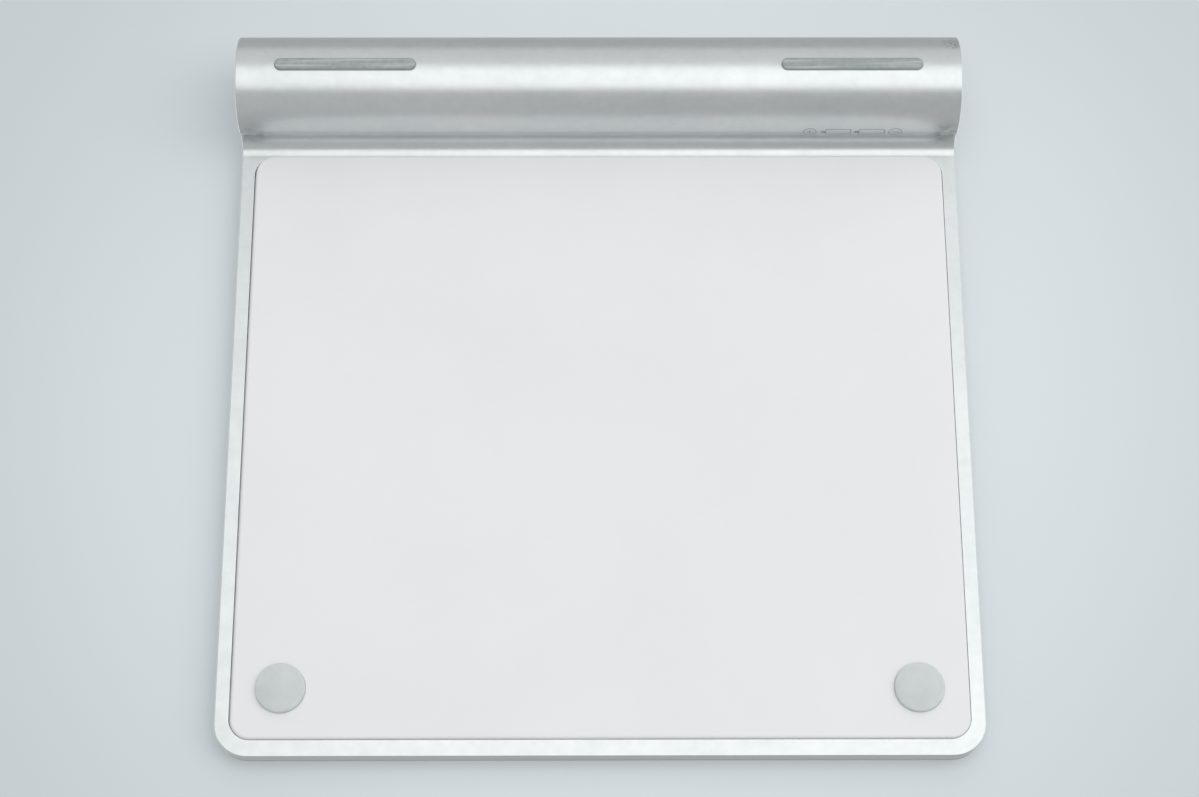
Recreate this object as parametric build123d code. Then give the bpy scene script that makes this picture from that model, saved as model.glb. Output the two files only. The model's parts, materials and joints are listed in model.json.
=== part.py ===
from build123d import *
import math
import os

# A slim desktop trackpad: a glass-topped aluminium plate that slopes up to a round battery tube.
# It is drawn in the plate's own frame: x to the user's right, y from the front edge to the back,
# z up, with zero at the glass's upper face. At the end it is tilted and stood on the desk.

# Cells, and the tube that is built up around them
cell_radius = 7.2
cell_length = 50.5
cell_nub_radius = 2.7
cell_nub_height = 1.1
cell_play = 0.25
liner_wall = 0.3
liner_play = 0.05
tube_wall = 1.2

# Battery cap and the contact that swivels on it
head_thickness = 1.2
head_lip = 0.45
head_edge = 0.25
cap_play = 0.06
skirt_wall = 1.05
skirt_end_gap = 0.2
cell_setback = 0.2
coin_slot_width = 1.7
coin_slot_share = 0.72
coin_slot_depth_share = 0.6
insert_thickness = 0.8
insert_play = 0.03
pin_radius = 1.0
pin_head_radius = 1.5
pin_head_thickness = 0.3
pin_play = 0.06
contact_thickness = 0.4
contact_play = 0.1
contact_rim_gap = 0.5
leaf_height = 2.4
leaf_play = 0.1
leaf_thickness = 0.3
leaf_width = 2.4
leaf_foot_share = 0.88
leaf_tip_share = 0.5
leaf_count = 3
cap_lead = 1.25
cap_turns = 3

# Contact and bulkhead behind the cells
positive_thickness = 0.5
positive_radius = 4.0
tail_width = 2.0
tail_thickness = 0.3
tail_reach = 3.0
tail_clearance = 0.15
bulkhead_length = 3.0
bulkhead_play = 0.05

# Free bay in the tube, where the flexible circuit leaves it
bay_length = 11.7
bay_margin = 1.5

# Power button, its carrier, board and switch
power_board_thickness = 0.8
power_board_margin = 0.8
switch_height = 1.6
switch_width = 5.0
switch_recess_play = 0.1
plunger_radius = 1.1
plunger_reach = 0.8
plunger_hold = 0.3
plunger_spare = 0.1
stem_length = 3.5
stem_radius = 0.9
stem_play = 0.08
button_flange = 0.65
button_flange_lip = 0.5
button_flange_play = 0.05
button_radius = 4.0
button_play = 0.1
button_recess = 0.15
button_travel = 0.5
button_edge = 0.25
chamber_spare = 0.15
switch_chamber_radius = 5.5
switch_chamber_spare = 0.6
carrier_play = 0.05
end_cap_thickness = 1.4
end_cap_play = 0.05

# Glass, its bond and the sensor board under it
glass_thickness = 1.0
glass_edge = 0.2
glass_gap = 0.1
bond_thickness = 0.1
bond_inset = 0.5
sensor_board_thickness = 0.6
sensor_board_gap = 0.3

# Click switch, dome and foot, from the sensor board down to the cover
dome_spare = 0.2
can_width = 4.6
can_play = 0.15
dome_gap = 0.05
dome_thickness = 0.3
dome_radius = 1.4
nub_height = 0.1
nub_radius = 0.8
flange_thickness = 0.5
flange_lip = 0.75
stop_gap = 0.05
foot_radius = 4.25
foot_play = 0.15
foot_proud = 0.95
foot_dome_rise = 0.6
foot_edge = 0.2
foot_pad_inset = 0.15
foot_travel = 0.3
foot_side_gap = 0.57
foot_front_gap = 0.42

# Bottom cover and its bond
cover_thickness = 0.9
cover_proud = 0.1
cover_edge = 0.6
cover_gap = 0.18
cover_corner = 3.5
cover_bond = 0.1
cover_bond_inset = 0.4

# Plan of the body
body_depth = 131.0
front_corner = 5.7
side_rim = 2.43
front_rim = 2.78
rim_break = 0.3
ledge_width = 3.0
window_corner = 2.5
rear_wall = 3.9
cove_radius = 2.75
cove_lip = 0.05
crest_land = 8.0

# Rubber strips under the tube
strip_length = 25.2
strip_width = 2.1
strip_inset = 19.4
strip_gap = 0.08
strip_proud = 0.45
strip_edge = 0.2
strip_slot_share = 0.58

# Main board and what sits on it
main_board_thickness = 0.5
main_board_width = 60.0
main_board_depth = 20.0
main_board_margin = 3.5
main_board_corner = 1.0
screw_head = 0.25
screw_head_radius = 1.1
screw_radius = 0.5
screw_play = 0.08
screw_bite_share = 0.75
head_gap = 0.05
lug_gap = 0.05
lug_width = 6.0
lug_depth = 4.0
lug_hole_share = 0.5
lug_place_shares = (-0.42, -0.05, 0.22)
shield_width = 16.0
shield_depth = 12.0
shield_wall = 0.15
shield_place_share = 0.0
chip_margin = 1.2
chip_height_share = 0.6
connector_width = 12.0
connector_depth = 3.0
connector_place_share = -0.3
chip_side = 7.0
chip_pitch = 16.0
chip_count = 2
sensor_chip_share = 0.45
sensor_chip_height = 0.8
antenna_length = 18.0
antenna_width = 4.0
antenna_thickness = 0.1
antenna_inset = 0.6

# Flexible circuit from the tube to the main board, its lamp and light pipe
flex_thickness = 0.15
flex_width = 6.0
flex_rise = 0.12
flex_landing = 3.2
flex_play = 0.05
passage_side = 0.5
passage_height = 0.8
lamp_length = 1.6
lamp_width = 0.8
lamp_height = 0.6
light_pipe_radius = 0.4
light_pipe_gap = 0.07
light_pipe_play = 0.05

# A cut runs this far past the face that it opens
overrun = 1.0

# Levels, from the glass's upper face down
glass_z = -glass_thickness
seat_z = glass_z - bond_thickness
sensor_z = seat_z - sensor_board_thickness
can_z = sensor_z - foot_travel - dome_spare
dome_z = can_z - dome_gap
nub_z = dome_z - dome_thickness
flange_z = nub_z - nub_height
flange_low_z = flange_z - flange_thickness
cover_in_z = flange_low_z - stop_gap
ledge_z = cover_in_z + cover_bond
cover_z = cover_in_z - cover_thickness
rim_z = cover_z + cover_proud
board_low_z = cover_in_z + head_gap + screw_head
board_z = board_low_z + main_board_thickness
lug_z = sensor_z - lug_gap
flex_z = board_z + flex_rise

# Tube radii and centre
liner_inner = cell_radius + cell_play
liner_outer = liner_inner + liner_wall
bore_radius = liner_outer + liner_play
tube_radius = bore_radius + tube_wall
end_radius = bore_radius + head_lip
tube_y = body_depth - tube_radius
tube_z = -tube_radius
skirt_radius = bore_radius - cap_play
skirt_inner = skirt_radius - skirt_wall

# Lengths of what fills the tube, which set the body's width
cap_stack = head_thickness + insert_thickness + contact_play + contact_thickness + leaf_height + leaf_play
cell_stack = cell_length + cell_length + positive_thickness + bulkhead_length
switch_stack = power_board_thickness + switch_height + plunger_reach
button_stack = stem_length + button_flange + button_flange_play + end_cap_thickness
body_width = cap_stack + cell_stack + bay_length + switch_stack + button_stack
half_width = body_width / 2

# Places along the tube, from the cap's end to the button's
head_x = head_thickness - half_width
insert_x = head_x + insert_thickness
contact_x = insert_x + contact_play
leaf_x = contact_x + contact_thickness
cells_x = leaf_x + leaf_height + leaf_play
liner_x = cells_x - cell_setback
skirt_x = liner_x - skirt_end_gap
positive_x = cells_x + cell_length + cell_length
bulkhead_x = positive_x + positive_thickness
bay_x = bulkhead_x + bulkhead_length
power_board_x = bay_x + bay_length
switch_x = power_board_x + power_board_thickness
plunger_x = switch_x + switch_height
stem_x = plunger_x + plunger_reach
button_flange_x = stem_x + stem_length
end_cap_x = half_width - end_cap_thickness
flex_x = bay_x + bay_margin

# Plan places
pocket_x = half_width - side_rim
window_x = pocket_x - ledge_width
cove_reach = math.sqrt((tube_radius + cove_radius) ** 2 - (tube_z - rim_z + cove_radius) ** 2)
cove_y = tube_y - cove_reach
pocket_rear = cove_y - cove_lip
window_front = front_rim + ledge_width
window_rear = pocket_rear - rear_wall
glass_rear = tube_y - crest_land
flange_radius = foot_radius + flange_lip
foot_x = window_x - foot_side_gap - flange_radius
foot_y = window_front + foot_front_gap + flange_radius
strip_x = half_width - strip_inset
board_right = window_x - main_board_margin
board_mid = board_right - main_board_width / 2
board_rear = window_rear - sensor_board_gap
board_front = board_rear - main_board_depth
lug_front = window_rear - lug_depth
lug_places = [board_mid + share * main_board_width for share in lug_place_shares]
screw_y = window_rear - lug_depth * lug_hole_share

# The desk touches the strips and the domed feet, which gives the tilt
foot_sphere = (foot_radius ** 2 + foot_dome_rise ** 2) / (foot_dome_rise * 2)
foot_apex_z = rim_z - foot_proud - foot_dome_rise
sphere_z = foot_apex_z + foot_sphere
tube_height = tube_radius + strip_proud
lean = math.atan2(tube_z - sphere_z, tube_y - foot_y)
reach = math.hypot(tube_z - sphere_z, tube_y - foot_y)
tilt = math.asin((tube_height - foot_sphere) / reach) - lean
lift = tube_height - tube_y * math.sin(tilt) - tube_z * math.cos(tilt)
rear_y = tube_y * math.cos(tilt) - tube_z * math.sin(tilt) + tube_radius
to_desk = Pos(0, -rear_y / 2, lift) * Rot(math.degrees(tilt), 0, 0)


def slab(x_span, y_span, z_span, corner=0):
    """A flat block between limits, its upright corners rounded where a corner is given."""
    width = x_span[1] - x_span[0]
    depth = y_span[1] - y_span[0]
    outline = RectangleRounded(width, depth, corner) if corner else Rectangle(width, depth)
    middle = Pos(sum(x_span) / 2, sum(y_span) / 2, z_span[0])
    return middle * extrude(outline, z_span[1] - z_span[0])


def disc(x, y, radius, z_span):
    """An upright round piece at a place of the plate."""
    height = z_span[1] - z_span[0]
    return Pos(x, y, sum(z_span) / 2) * Cylinder(radius, height)


def rod(radius, x_span):
    """A round bar on the tube's axis."""
    length = x_span[1] - x_span[0]
    return Pos(sum(x_span) / 2, tube_y, tube_z) * Rot(0, 90, 0) * Cylinder(radius, length)


def ring(outer, inner, x_span):
    """A round bar on the tube's axis with a bore right through it."""
    return rod(outer, x_span) - rod(inner, (x_span[0] - overrun, x_span[1] + overrun))


def both_sides(piece):
    """A piece and its mirror image on the other side."""
    return piece + mirror(piece, Plane.YZ)


def side_section():
    """The body seen from the side: a thin plate, a cove and the round tube."""
    depth = seat_z - rim_z
    plate = Pos(tube_y / 2, rim_z + depth / 2) * Rectangle(tube_y, depth)
    step_y = glass_rear + glass_gap
    land = Pos((step_y + tube_y) / 2, tube_z / 2) * Rectangle(tube_y - step_y, -tube_z)
    land = land & (Pos(tube_y / 2, rim_z / 2) * Rectangle(tube_y, -rim_z))
    tube = Pos(tube_y, tube_z) * Circle(tube_radius)
    cove_z = rim_z - cove_radius
    touch_share = tube_radius / (tube_radius + cove_radius)
    touch_y = tube_y + (cove_y - tube_y) * touch_share
    touch_z = tube_z + (cove_z - tube_z) * touch_share
    corners = ((cove_y, rim_z), (tube_y, rim_z), (tube_y, tube_z), (touch_y, touch_z), (cove_y, cove_z))
    filler = make_face(Polyline(*corners, close=True))
    cove = filler - Pos(cove_y, cove_z) * Circle(cove_radius)
    return plate + land + tube + cove


def body_blank():
    """The section run across the width, with round front corners and softened lower edges."""
    bar = extrude(Plane.YZ.offset(-half_width) * side_section(), body_width)
    plan_rear = body_depth + front_corner + front_corner
    plan = slab((-half_width, half_width), (0, plan_rear), (tube_z - tube_radius, 0), front_corner)
    blank = bar & plan
    lower = [edge for edge in blank.edges() if abs(edge.center().Z - rim_z) < rim_break / 10]
    outer = [edge for edge in lower if edge.center().Y < cove_y - rim_break]
    return chamfer(outer, rim_break)


def strip_slot(x):
    """The stadium-shaped pocket of one rubber strip, from below the tube up to its floor."""
    floor_z = tube_z - tube_radius + tube_wall * strip_slot_share
    low_z = tube_z - tube_radius - overrun
    outline = SlotOverall(strip_length, strip_width)
    return Pos(x, tube_y, low_z) * extrude(outline, floor_z - low_z)


def flex_passage():
    """The narrow way from the plate's hollow into the tube, for the flexible circuit."""
    middle = flex_z + flex_thickness / 2
    x_span = (flex_x - passage_side, flex_x + flex_width + passage_side)
    z_span = (middle - passage_height / 2, middle + passage_height / 2)
    return slab(x_span, (window_rear - overrun, tube_y), z_span)


def board_lugs():
    """Lugs on the rear wall of the plate's hollow, each with a hole for a screw."""
    lugs = []
    for x in lug_places:
        x_span = (x - lug_width / 2, x + lug_width / 2)
        lug = slab(x_span, (lug_front, window_rear + overrun), (board_z, lug_z))
        hole = disc(x, screw_y, screw_radius + screw_play, (board_z - overrun, lug_z + overrun))
        lugs.append(lug - hole)
    return lugs


def housing():
    """The one-piece aluminium body: plate, cove and battery tube."""
    body = body_blank()
    pocket_z = (rim_z - overrun, ledge_z)
    body -= slab((-pocket_x, pocket_x), (front_rim, pocket_rear), pocket_z, cover_corner + cover_gap)
    window_z = (rim_z - overrun, seat_z + overrun)
    body -= slab((-window_x, window_x), (window_front, window_rear), window_z, window_corner)
    body -= rod(bore_radius, (-half_width - overrun, half_width + overrun))
    body -= rod(end_radius, (-half_width - overrun, head_x))
    body -= rod(end_radius, (end_cap_x, half_width + overrun))
    body -= flex_passage()
    body -= strip_slot(strip_x)
    body -= strip_slot(-strip_x)
    pipe_hole = light_pipe_radius + light_pipe_play
    body -= disc(flex_x + flex_width / 2, tube_y, pipe_hole, (tube_z, overrun))
    for lug in board_lugs():
        body += lug
    return body


def glass_top():
    """The touch surface: one sheet to the edges of the plate, round at its front corners."""
    sheet_rear = glass_rear + front_corner
    sheet = slab((-half_width, half_width), (0, sheet_rear), (glass_z, 0), front_corner)
    sheet &= slab((-half_width, half_width), (0, glass_rear), (glass_z, 0))
    upper = sheet.faces().sort_by(Axis.Z)[-1]
    return chamfer(upper.edges(), glass_edge)


def glass_bond():
    """The thin sheet of adhesive between the glass and what lies under it."""
    x = half_width - bond_inset
    corner = front_corner - bond_inset
    return slab((-x, x), (bond_inset, glass_rear - bond_inset), (seat_z, glass_z), corner)


def sensor_board():
    """The touch sensor's board, in the plate's window."""
    x = window_x - sensor_board_gap
    y_span = (window_front + sensor_board_gap, window_rear - sensor_board_gap)
    return slab((-x, x), y_span, (sensor_z, seat_z), window_corner - sensor_board_gap)


def sensor_chips():
    """Chips in a row under the sensor board, ahead of the main board."""
    y = window_front + (board_front - window_front) * sensor_chip_share
    chips = []
    for number in range(chip_count):
        x = (number - (chip_count - 1) / 2) * chip_pitch
        x_span = (x - chip_side / 2, x + chip_side / 2)
        y_span = (y - chip_side / 2, y + chip_side / 2)
        chips.append(slab(x_span, y_span, (sensor_z - sensor_chip_height, sensor_z)))
    return Compound(children=chips)


def bottom_cover():
    """The white panel in the plate's underside, with a soft edge and a hole for each foot."""
    x = pocket_x - cover_gap
    y_span = (front_rim + cover_gap, pocket_rear - cover_gap)
    panel = slab((-x, x), y_span, (cover_z, cover_in_z), cover_corner)
    lower = panel.faces().sort_by(Axis.Z)[0]
    panel = fillet(lower.edges(), cover_edge)
    hole = disc(foot_x, foot_y, foot_radius + foot_play, (cover_z - overrun, cover_in_z + overrun))
    return panel - both_sides(hole)


def cover_bond_ring():
    """The adhesive ring between the cover and the ledge that it sits on."""
    outer_x = pocket_x - cover_bond_inset
    inner_x = window_x + cover_bond_inset
    outer_y = (front_rim + cover_bond_inset, pocket_rear - cover_bond_inset)
    inner_y = (window_front - cover_bond_inset, window_rear + cover_bond_inset)
    outer = slab((-outer_x, outer_x), outer_y, (cover_in_z, ledge_z), cover_corner)
    hollow = slab((-inner_x, inner_x), inner_y, (cover_in_z, ledge_z), window_corner)
    return outer - hollow


def rubber_strip(x):
    """A strip in its slot, cut flat where it meets the desk."""
    floor_z = tube_z - tube_radius + tube_wall * strip_slot_share
    low_z = tube_z - tube_radius - overrun
    outline = SlotOverall(strip_length - strip_gap * 2, strip_width - strip_gap * 2)
    bar = Pos(x, tube_y, low_z) * extrude(outline, floor_z - low_z)
    above = Pos(0, 0, body_depth / 2) * Box(body_width * 2, body_depth * 2, body_depth)
    bar = bar & (to_desk.inverse() * above)
    lower = bar.faces().sort_by(Axis.Z)[0]
    return chamfer(lower.edges(), strip_edge)


def click_switch(x):
    """A flat switch frame under the sensor board, open where its dome goes in."""
    half = can_width / 2
    frame = slab((x - half, x + half), (foot_y - half, foot_y + half), (can_z, sensor_z))
    return frame - disc(x, foot_y, dome_radius + can_play, (can_z - overrun, sensor_z + overrun))


def switch_dome(x):
    """The switch's snap dome, which the foot's plunger carries into the frame."""
    return disc(x, foot_y, dome_radius, (nub_z, dome_z))


def foot_plunger(x):
    """The disc that the foot is bonded to, with a flange that the cover holds in."""
    pad_top = cover_in_z - foot_pad_inset
    stem = disc(x, foot_y, foot_radius, (pad_top, flange_z))
    flange = disc(x, foot_y, flange_radius, (flange_low_z, flange_z))
    nub = disc(x, foot_y, nub_radius, (flange_z, nub_z))
    return stem + flange + nub


def foot_pad(x):
    """The foot that the trackpad stands and clicks on: a disc, domed by a large sphere."""
    side = disc(x, foot_y, foot_radius, (foot_apex_z, cover_in_z - foot_pad_inset))
    ball = Pos(x, foot_y, sphere_z) * Rot(90, 0, 0) * Sphere(foot_sphere)
    pad = side & ball
    edge_z = rim_z - foot_proud
    rim = [edge for edge in pad.edges() if abs(edge.center().Z - edge_z) < foot_edge / 10]
    return chamfer(rim, foot_edge)


def battery_cell(x):
    """A round cell with its nub towards the button's end."""
    can = rod(cell_radius, (x, x + cell_length - cell_nub_height))
    return can + rod(cell_nub_radius, (x, x + cell_length))


def battery_liner():
    """The thin sleeve that keeps the cells off the metal."""
    return ring(liner_outer, liner_inner, (liner_x, bay_x))


def positive_contact():
    """The contact plate at the cells' far end, with a tail to the flexible circuit."""
    plate = rod(positive_radius, (positive_x, bulkhead_x))
    y_span = (tube_y - tail_width, tube_y)
    riser = slab((positive_x, bulkhead_x), y_span, (tube_z, flex_z))
    tail = slab((positive_x, flex_x + tail_reach), y_span, (flex_z - tail_thickness, flex_z))
    return plate + riser + tail


def contact_bulkhead():
    """The plug behind the contact, notched for the contact's tail."""
    plug = rod(liner_inner - bulkhead_play, (bulkhead_x, bay_x))
    y_span = (tube_y - tail_width - tail_clearance, tube_y + tail_clearance)
    notch_z = (flex_z - tail_thickness - tail_clearance, 0)
    return plug - slab((bulkhead_x - overrun, bay_x + overrun), y_span, notch_z)


def battery_cap():
    """The coin-slotted cap: a head flush with the tube's end, and a skirt in the bore."""
    head = rod(end_radius - cap_play, (-half_width, head_x))
    face = head.faces().sort_by(Axis.X)[0]
    head = chamfer(face.edges(), head_edge)
    slot_depth = head_thickness * coin_slot_depth_share
    slot_length = end_radius * coin_slot_share
    coin = slab((-half_width - overrun, slot_depth - half_width), (tube_y - slot_length, tube_y + slot_length),
                (tube_z - coin_slot_width / 2, tube_z + coin_slot_width / 2))
    skirt = ring(skirt_radius, skirt_inner, (head_x, skirt_x))
    return head - coin + skirt


def cap_insert():
    """The insulating disc in the cap, with the pin that the contact swivels on."""
    head_start = leaf_x + contact_play
    base = rod(skirt_inner - insert_play, (head_x, insert_x))
    pin = rod(pin_radius, (head_x, head_start))
    retainer = rod(pin_head_radius, (head_start, head_start + pin_head_thickness))
    return base + pin + retainer


def cap_contact():
    """The contact on the cap's pin: a plate with bent leaves that press on the cell."""
    plate_radius = skirt_inner - contact_rim_gap
    plate = ring(plate_radius, pin_radius + pin_play, (contact_x, leaf_x))
    foot_r = plate_radius * leaf_foot_share
    tip_r = plate_radius * leaf_tip_share
    tip_x = leaf_x + leaf_height
    corners = ((contact_x, foot_r), (contact_x, foot_r - leaf_thickness), (tip_x - leaf_thickness, tip_r),
               (tip_x, tip_r), (tip_x, tip_r + leaf_thickness))
    profile = Plane.XY.offset(-leaf_width / 2) * make_face(Polyline(*corners, close=True))
    leaf = extrude(profile, leaf_width)
    for number in range(leaf_count):
        turn = Rot(number * 360 / leaf_count, 0, 0)
        plate += Pos(0, tube_y, tube_z) * turn * leaf
    return plate


def right_end_cap():
    """The aluminium disc in the tube's other end, with the button's hole."""
    hole = button_radius + button_play
    return ring(end_radius - end_cap_play, hole, (end_cap_x, half_width))


def button_carrier():
    """The moulded sleeve behind the end cap, which guides the button and holds the board."""
    outer = rod(bore_radius - carrier_play, (switch_x, end_cap_x))
    front_depth = button_flange + button_flange_play + button_travel + chamber_spare
    front_radius = button_radius + button_flange_lip + button_play
    front = rod(front_radius, (end_cap_x - front_depth, end_cap_x + overrun))
    back_end = stem_x + switch_chamber_spare
    back = rod(switch_chamber_radius, (switch_x - overrun, back_end))
    guide = rod(stem_radius + stem_play, (switch_x, end_cap_x))
    return outer - front - back - guide


def power_board():
    """The small round board in the tube that carries the power switch."""
    return rod(bore_radius - power_board_margin, (power_board_x, switch_x))


def power_switch():
    """The switch's square body, hollow where its plunger slides."""
    half = switch_width / 2
    y_span = (tube_y - half, tube_y + half)
    body = slab((switch_x, plunger_x), y_span, (tube_z - half, tube_z + half))
    depth = plunger_hold + button_travel + plunger_spare
    return body - rod(plunger_radius + switch_recess_play, (plunger_x - depth, plunger_x + overrun))


def switch_plunger():
    """The switch's own plunger, which moves with the button."""
    return rod(plunger_radius, (plunger_x - plunger_hold, stem_x))


def power_button():
    """The round button: a face just inside the end cap, a flange behind it and a stem."""
    face_x = half_width - button_recess
    button = rod(button_radius, (button_flange_x, face_x))
    face = button.faces().sort_by(Axis.X)[-1]
    button = chamfer(face.edges(), button_edge)
    flange = rod(button_radius + button_flange_lip, (button_flange_x, button_flange_x + button_flange))
    stem = rod(stem_radius, (stem_x, button_flange_x))
    return button + flange + stem


def main_board():
    """The board for radio and power, screwed under the lugs."""
    x_span = (board_right - main_board_width, board_right)
    board = slab(x_span, (board_front, board_rear), (board_low_z, board_z), main_board_corner)
    for x in lug_places:
        board -= disc(x, screw_y, screw_radius + screw_play, (board_low_z - overrun, board_z + overrun))
    return board


def board_screws():
    """Flat-headed screws that hold the main board to the lugs."""
    screws = []
    for x in lug_places:
        top_z = board_z + (lug_z - board_z) * screw_bite_share
        head = disc(x, screw_y, screw_head_radius, (board_low_z - screw_head, board_low_z))
        screws.append(head + disc(x, screw_y, screw_radius, (board_low_z, top_z)))
    return Compound(children=screws)


def shield_spans(margin):
    """Plan limits of the radio's shield, drawn in by a margin."""
    x = board_mid + main_board_width * shield_place_share
    y = (board_front + lug_front) / 2
    x_reach = shield_width / 2 - margin
    y_reach = shield_depth / 2 - margin
    return (x - x_reach, x + x_reach), (y - y_reach, y + y_reach)


def radio_shield():
    """The thin metal can over the radio's chip, open towards the board."""
    x_span, y_span = shield_spans(0)
    can = slab(x_span, y_span, (board_z, lug_z))
    x_span, y_span = shield_spans(shield_wall)
    return can - slab(x_span, y_span, (board_z - overrun, lug_z - shield_wall))


def radio_chip():
    """The chip under the shield."""
    x_span, y_span = shield_spans(chip_margin)
    return slab(x_span, y_span, (board_z, board_z + (lug_z - board_z) * chip_height_share))


def board_connector():
    """The connector between the main board and the sensor board, near the board's front."""
    x = board_mid + main_board_width * connector_place_share
    y = board_front + connector_depth
    x_span = (x - connector_width / 2, x + connector_width / 2)
    y_span = (y - connector_depth / 2, y + connector_depth / 2)
    return slab(x_span, y_span, (board_z, sensor_z))


def antenna():
    """The flat antenna under the main board's right end, which faces the plastic cover."""
    x_span = (board_right - antenna_inset - antenna_length, board_right - antenna_inset)
    y_span = (board_front + antenna_inset, board_front + antenna_inset + antenna_width)
    return slab(x_span, y_span, (board_low_z - antenna_thickness, board_low_z))


def power_flex():
    """The flexible circuit from the power board, through the passage, to the main board."""
    z_span = (flex_z, flex_z + flex_thickness)
    flat_reach = math.sqrt(bore_radius ** 2 - (z_span[1] - tube_z) ** 2) - flex_play
    bore_span = (tube_y - flat_reach, tube_y + flat_reach)
    run = slab((flex_x, flex_x + flex_width), (board_rear - flex_landing, tube_y), z_span)
    wing = slab((flex_x, power_board_x), bore_span, z_span)
    return run + wing


def flex_connector():
    """The low connector that joins the flexible circuit to the main board."""
    y_span = (board_rear - flex_landing, board_rear)
    return slab((flex_x, flex_x + flex_width), y_span, (board_z, flex_z))


def status_lamp():
    """The small lamp on the flexible circuit, under the light pipe."""
    x = flex_x + flex_width / 2
    low_z = flex_z + flex_thickness
    x_span = (x - lamp_length / 2, x + lamp_length / 2)
    y_span = (tube_y - lamp_width / 2, tube_y + lamp_width / 2)
    return slab(x_span, y_span, (low_z, low_z + lamp_height))


def light_pipe():
    """The clear pin that carries the lamp's light to the top of the tube."""
    low_z = flex_z + flex_thickness + lamp_height + light_pipe_gap
    return disc(flex_x + flex_width / 2, tube_y, light_pipe_radius, (low_z, 0))


def all_pieces():
    """Every piece by its name, in the plate's own frame."""
    pieces = {
        "housing": housing(),
        "glass_top": glass_top(),
        "glass_adhesive": glass_bond(),
        "sensor_board": sensor_board(),
        "sensor_chips": sensor_chips(),
        "bottom_cover": bottom_cover(),
        "cover_adhesive": cover_bond_ring(),
        "battery_liner": battery_liner(),
        "outer_battery_cell": battery_cell(cells_x),
        "inner_battery_cell": battery_cell(cells_x + cell_length),
        "positive_contact": positive_contact(),
        "contact_bulkhead": contact_bulkhead(),
        "battery_cap": battery_cap(),
        "cap_insert": cap_insert(),
        "cap_contact": cap_contact(),
        "right_end_cap": right_end_cap(),
        "button_carrier": button_carrier(),
        "power_board": power_board(),
        "power_switch": power_switch(),
        "power_switch_plunger": switch_plunger(),
        "power_button": power_button(),
        "main_board": main_board(),
        "board_screws": board_screws(),
        "radio_shield": radio_shield(),
        "radio_chip": radio_chip(),
        "board_connector": board_connector(),
        "antenna": antenna(),
        "power_flex": power_flex(),
        "flex_connector": flex_connector(),
        "status_lamp": status_lamp(),
        "status_light_pipe": light_pipe(),
    }
    for side, x in (("left", -foot_x), ("right", foot_x)):
        pieces[side + "_click_switch"] = click_switch(x)
        pieces[side + "_switch_dome"] = switch_dome(x)
        pieces[side + "_foot_plunger"] = foot_plunger(x)
        pieces[side + "_foot_pad"] = foot_pad(x)
    for side, x in (("left", -strip_x), ("right", strip_x)):
        pieces[side + "_rear_strip"] = rubber_strip(x)
    return pieces


def main():
    os.makedirs("parts", exist_ok=True)
    for name, piece in all_pieces().items():
        export_step(to_desk * piece, os.path.join("parts", name + ".step"))
    axis = to_desk * Pos(0, tube_y, tube_z)
    print("tilt in degrees", round(math.degrees(tilt), 4))
    print("body width", round(body_width, 3), "tube radius", round(tube_radius, 3), "rim level", round(rim_z, 3))
    print("tube axis at", [round(value, 4) for value in axis.position])
    print("foot place", round(foot_x, 3), round(foot_y, 3), "cove begins", round(cove_y, 3))
    print("cap travel", round(cap_lead * cap_turns, 3), "skirt length", round(skirt_x - head_x, 3))
    print("foot travel", foot_travel, "button travel", button_travel)


main()
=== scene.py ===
# %% [markdown]
# # A desktop trackpad, seen from below
# This lesson dresses a slim trackpad: a glass-topped aluminium plate with a round battery tube along its
# back edge. The CAD model is loaded first and never moved. It gives every size, so each new surface here is
# worked out from it with numpy and lies exactly where the CAD piece lies.
# The camera looks at the underside, as in the photograph: white cover, two domed feet, two rubber strips.

# %% Load the frame and keep the CAD box
import bpy
import json
import math
import numpy as np
from mathutils import Matrix, Vector
from mathutils.geometry import delaunay_2d_cdt, tessellate_polygon


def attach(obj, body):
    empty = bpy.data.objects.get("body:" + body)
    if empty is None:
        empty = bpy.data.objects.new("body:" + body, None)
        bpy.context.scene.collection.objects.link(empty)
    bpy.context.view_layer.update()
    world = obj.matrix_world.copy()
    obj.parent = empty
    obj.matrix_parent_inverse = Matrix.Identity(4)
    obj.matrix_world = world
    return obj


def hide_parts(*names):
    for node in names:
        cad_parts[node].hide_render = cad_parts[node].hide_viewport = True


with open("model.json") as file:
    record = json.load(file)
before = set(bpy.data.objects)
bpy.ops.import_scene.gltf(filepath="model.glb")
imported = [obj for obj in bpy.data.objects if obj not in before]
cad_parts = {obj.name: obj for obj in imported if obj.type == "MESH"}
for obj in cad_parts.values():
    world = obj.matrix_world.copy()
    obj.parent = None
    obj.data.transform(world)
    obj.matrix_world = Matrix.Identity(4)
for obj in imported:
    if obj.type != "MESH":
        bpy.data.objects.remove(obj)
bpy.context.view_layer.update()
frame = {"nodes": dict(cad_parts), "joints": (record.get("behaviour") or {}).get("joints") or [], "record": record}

mm = 0.001

# %% [markdown]
# ## The plate's own directions
# The trackpad stands on a desk with its plate tilted, but it is easier to draw the plate lying flat: x to
# the user's right, y from the front edge to the back, z up from the glass. The tilt could be typed in, but
# the click joint's axis already is the plate's normal, and the glass gives the zero corner.

# %% Turn points between the world and the plate
joint_named = {joint["name"]: joint for joint in frame["joints"]}


def node_points(name):
    """Every vertex of a CAD node as rows of x, y, z in the world."""
    mesh = frame["nodes"][name].data
    values = np.empty(len(mesh.vertices) * 3, np.float32)
    mesh.vertices.foreach_get("co", values)
    return values.reshape(-1, 3).astype(float)


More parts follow.
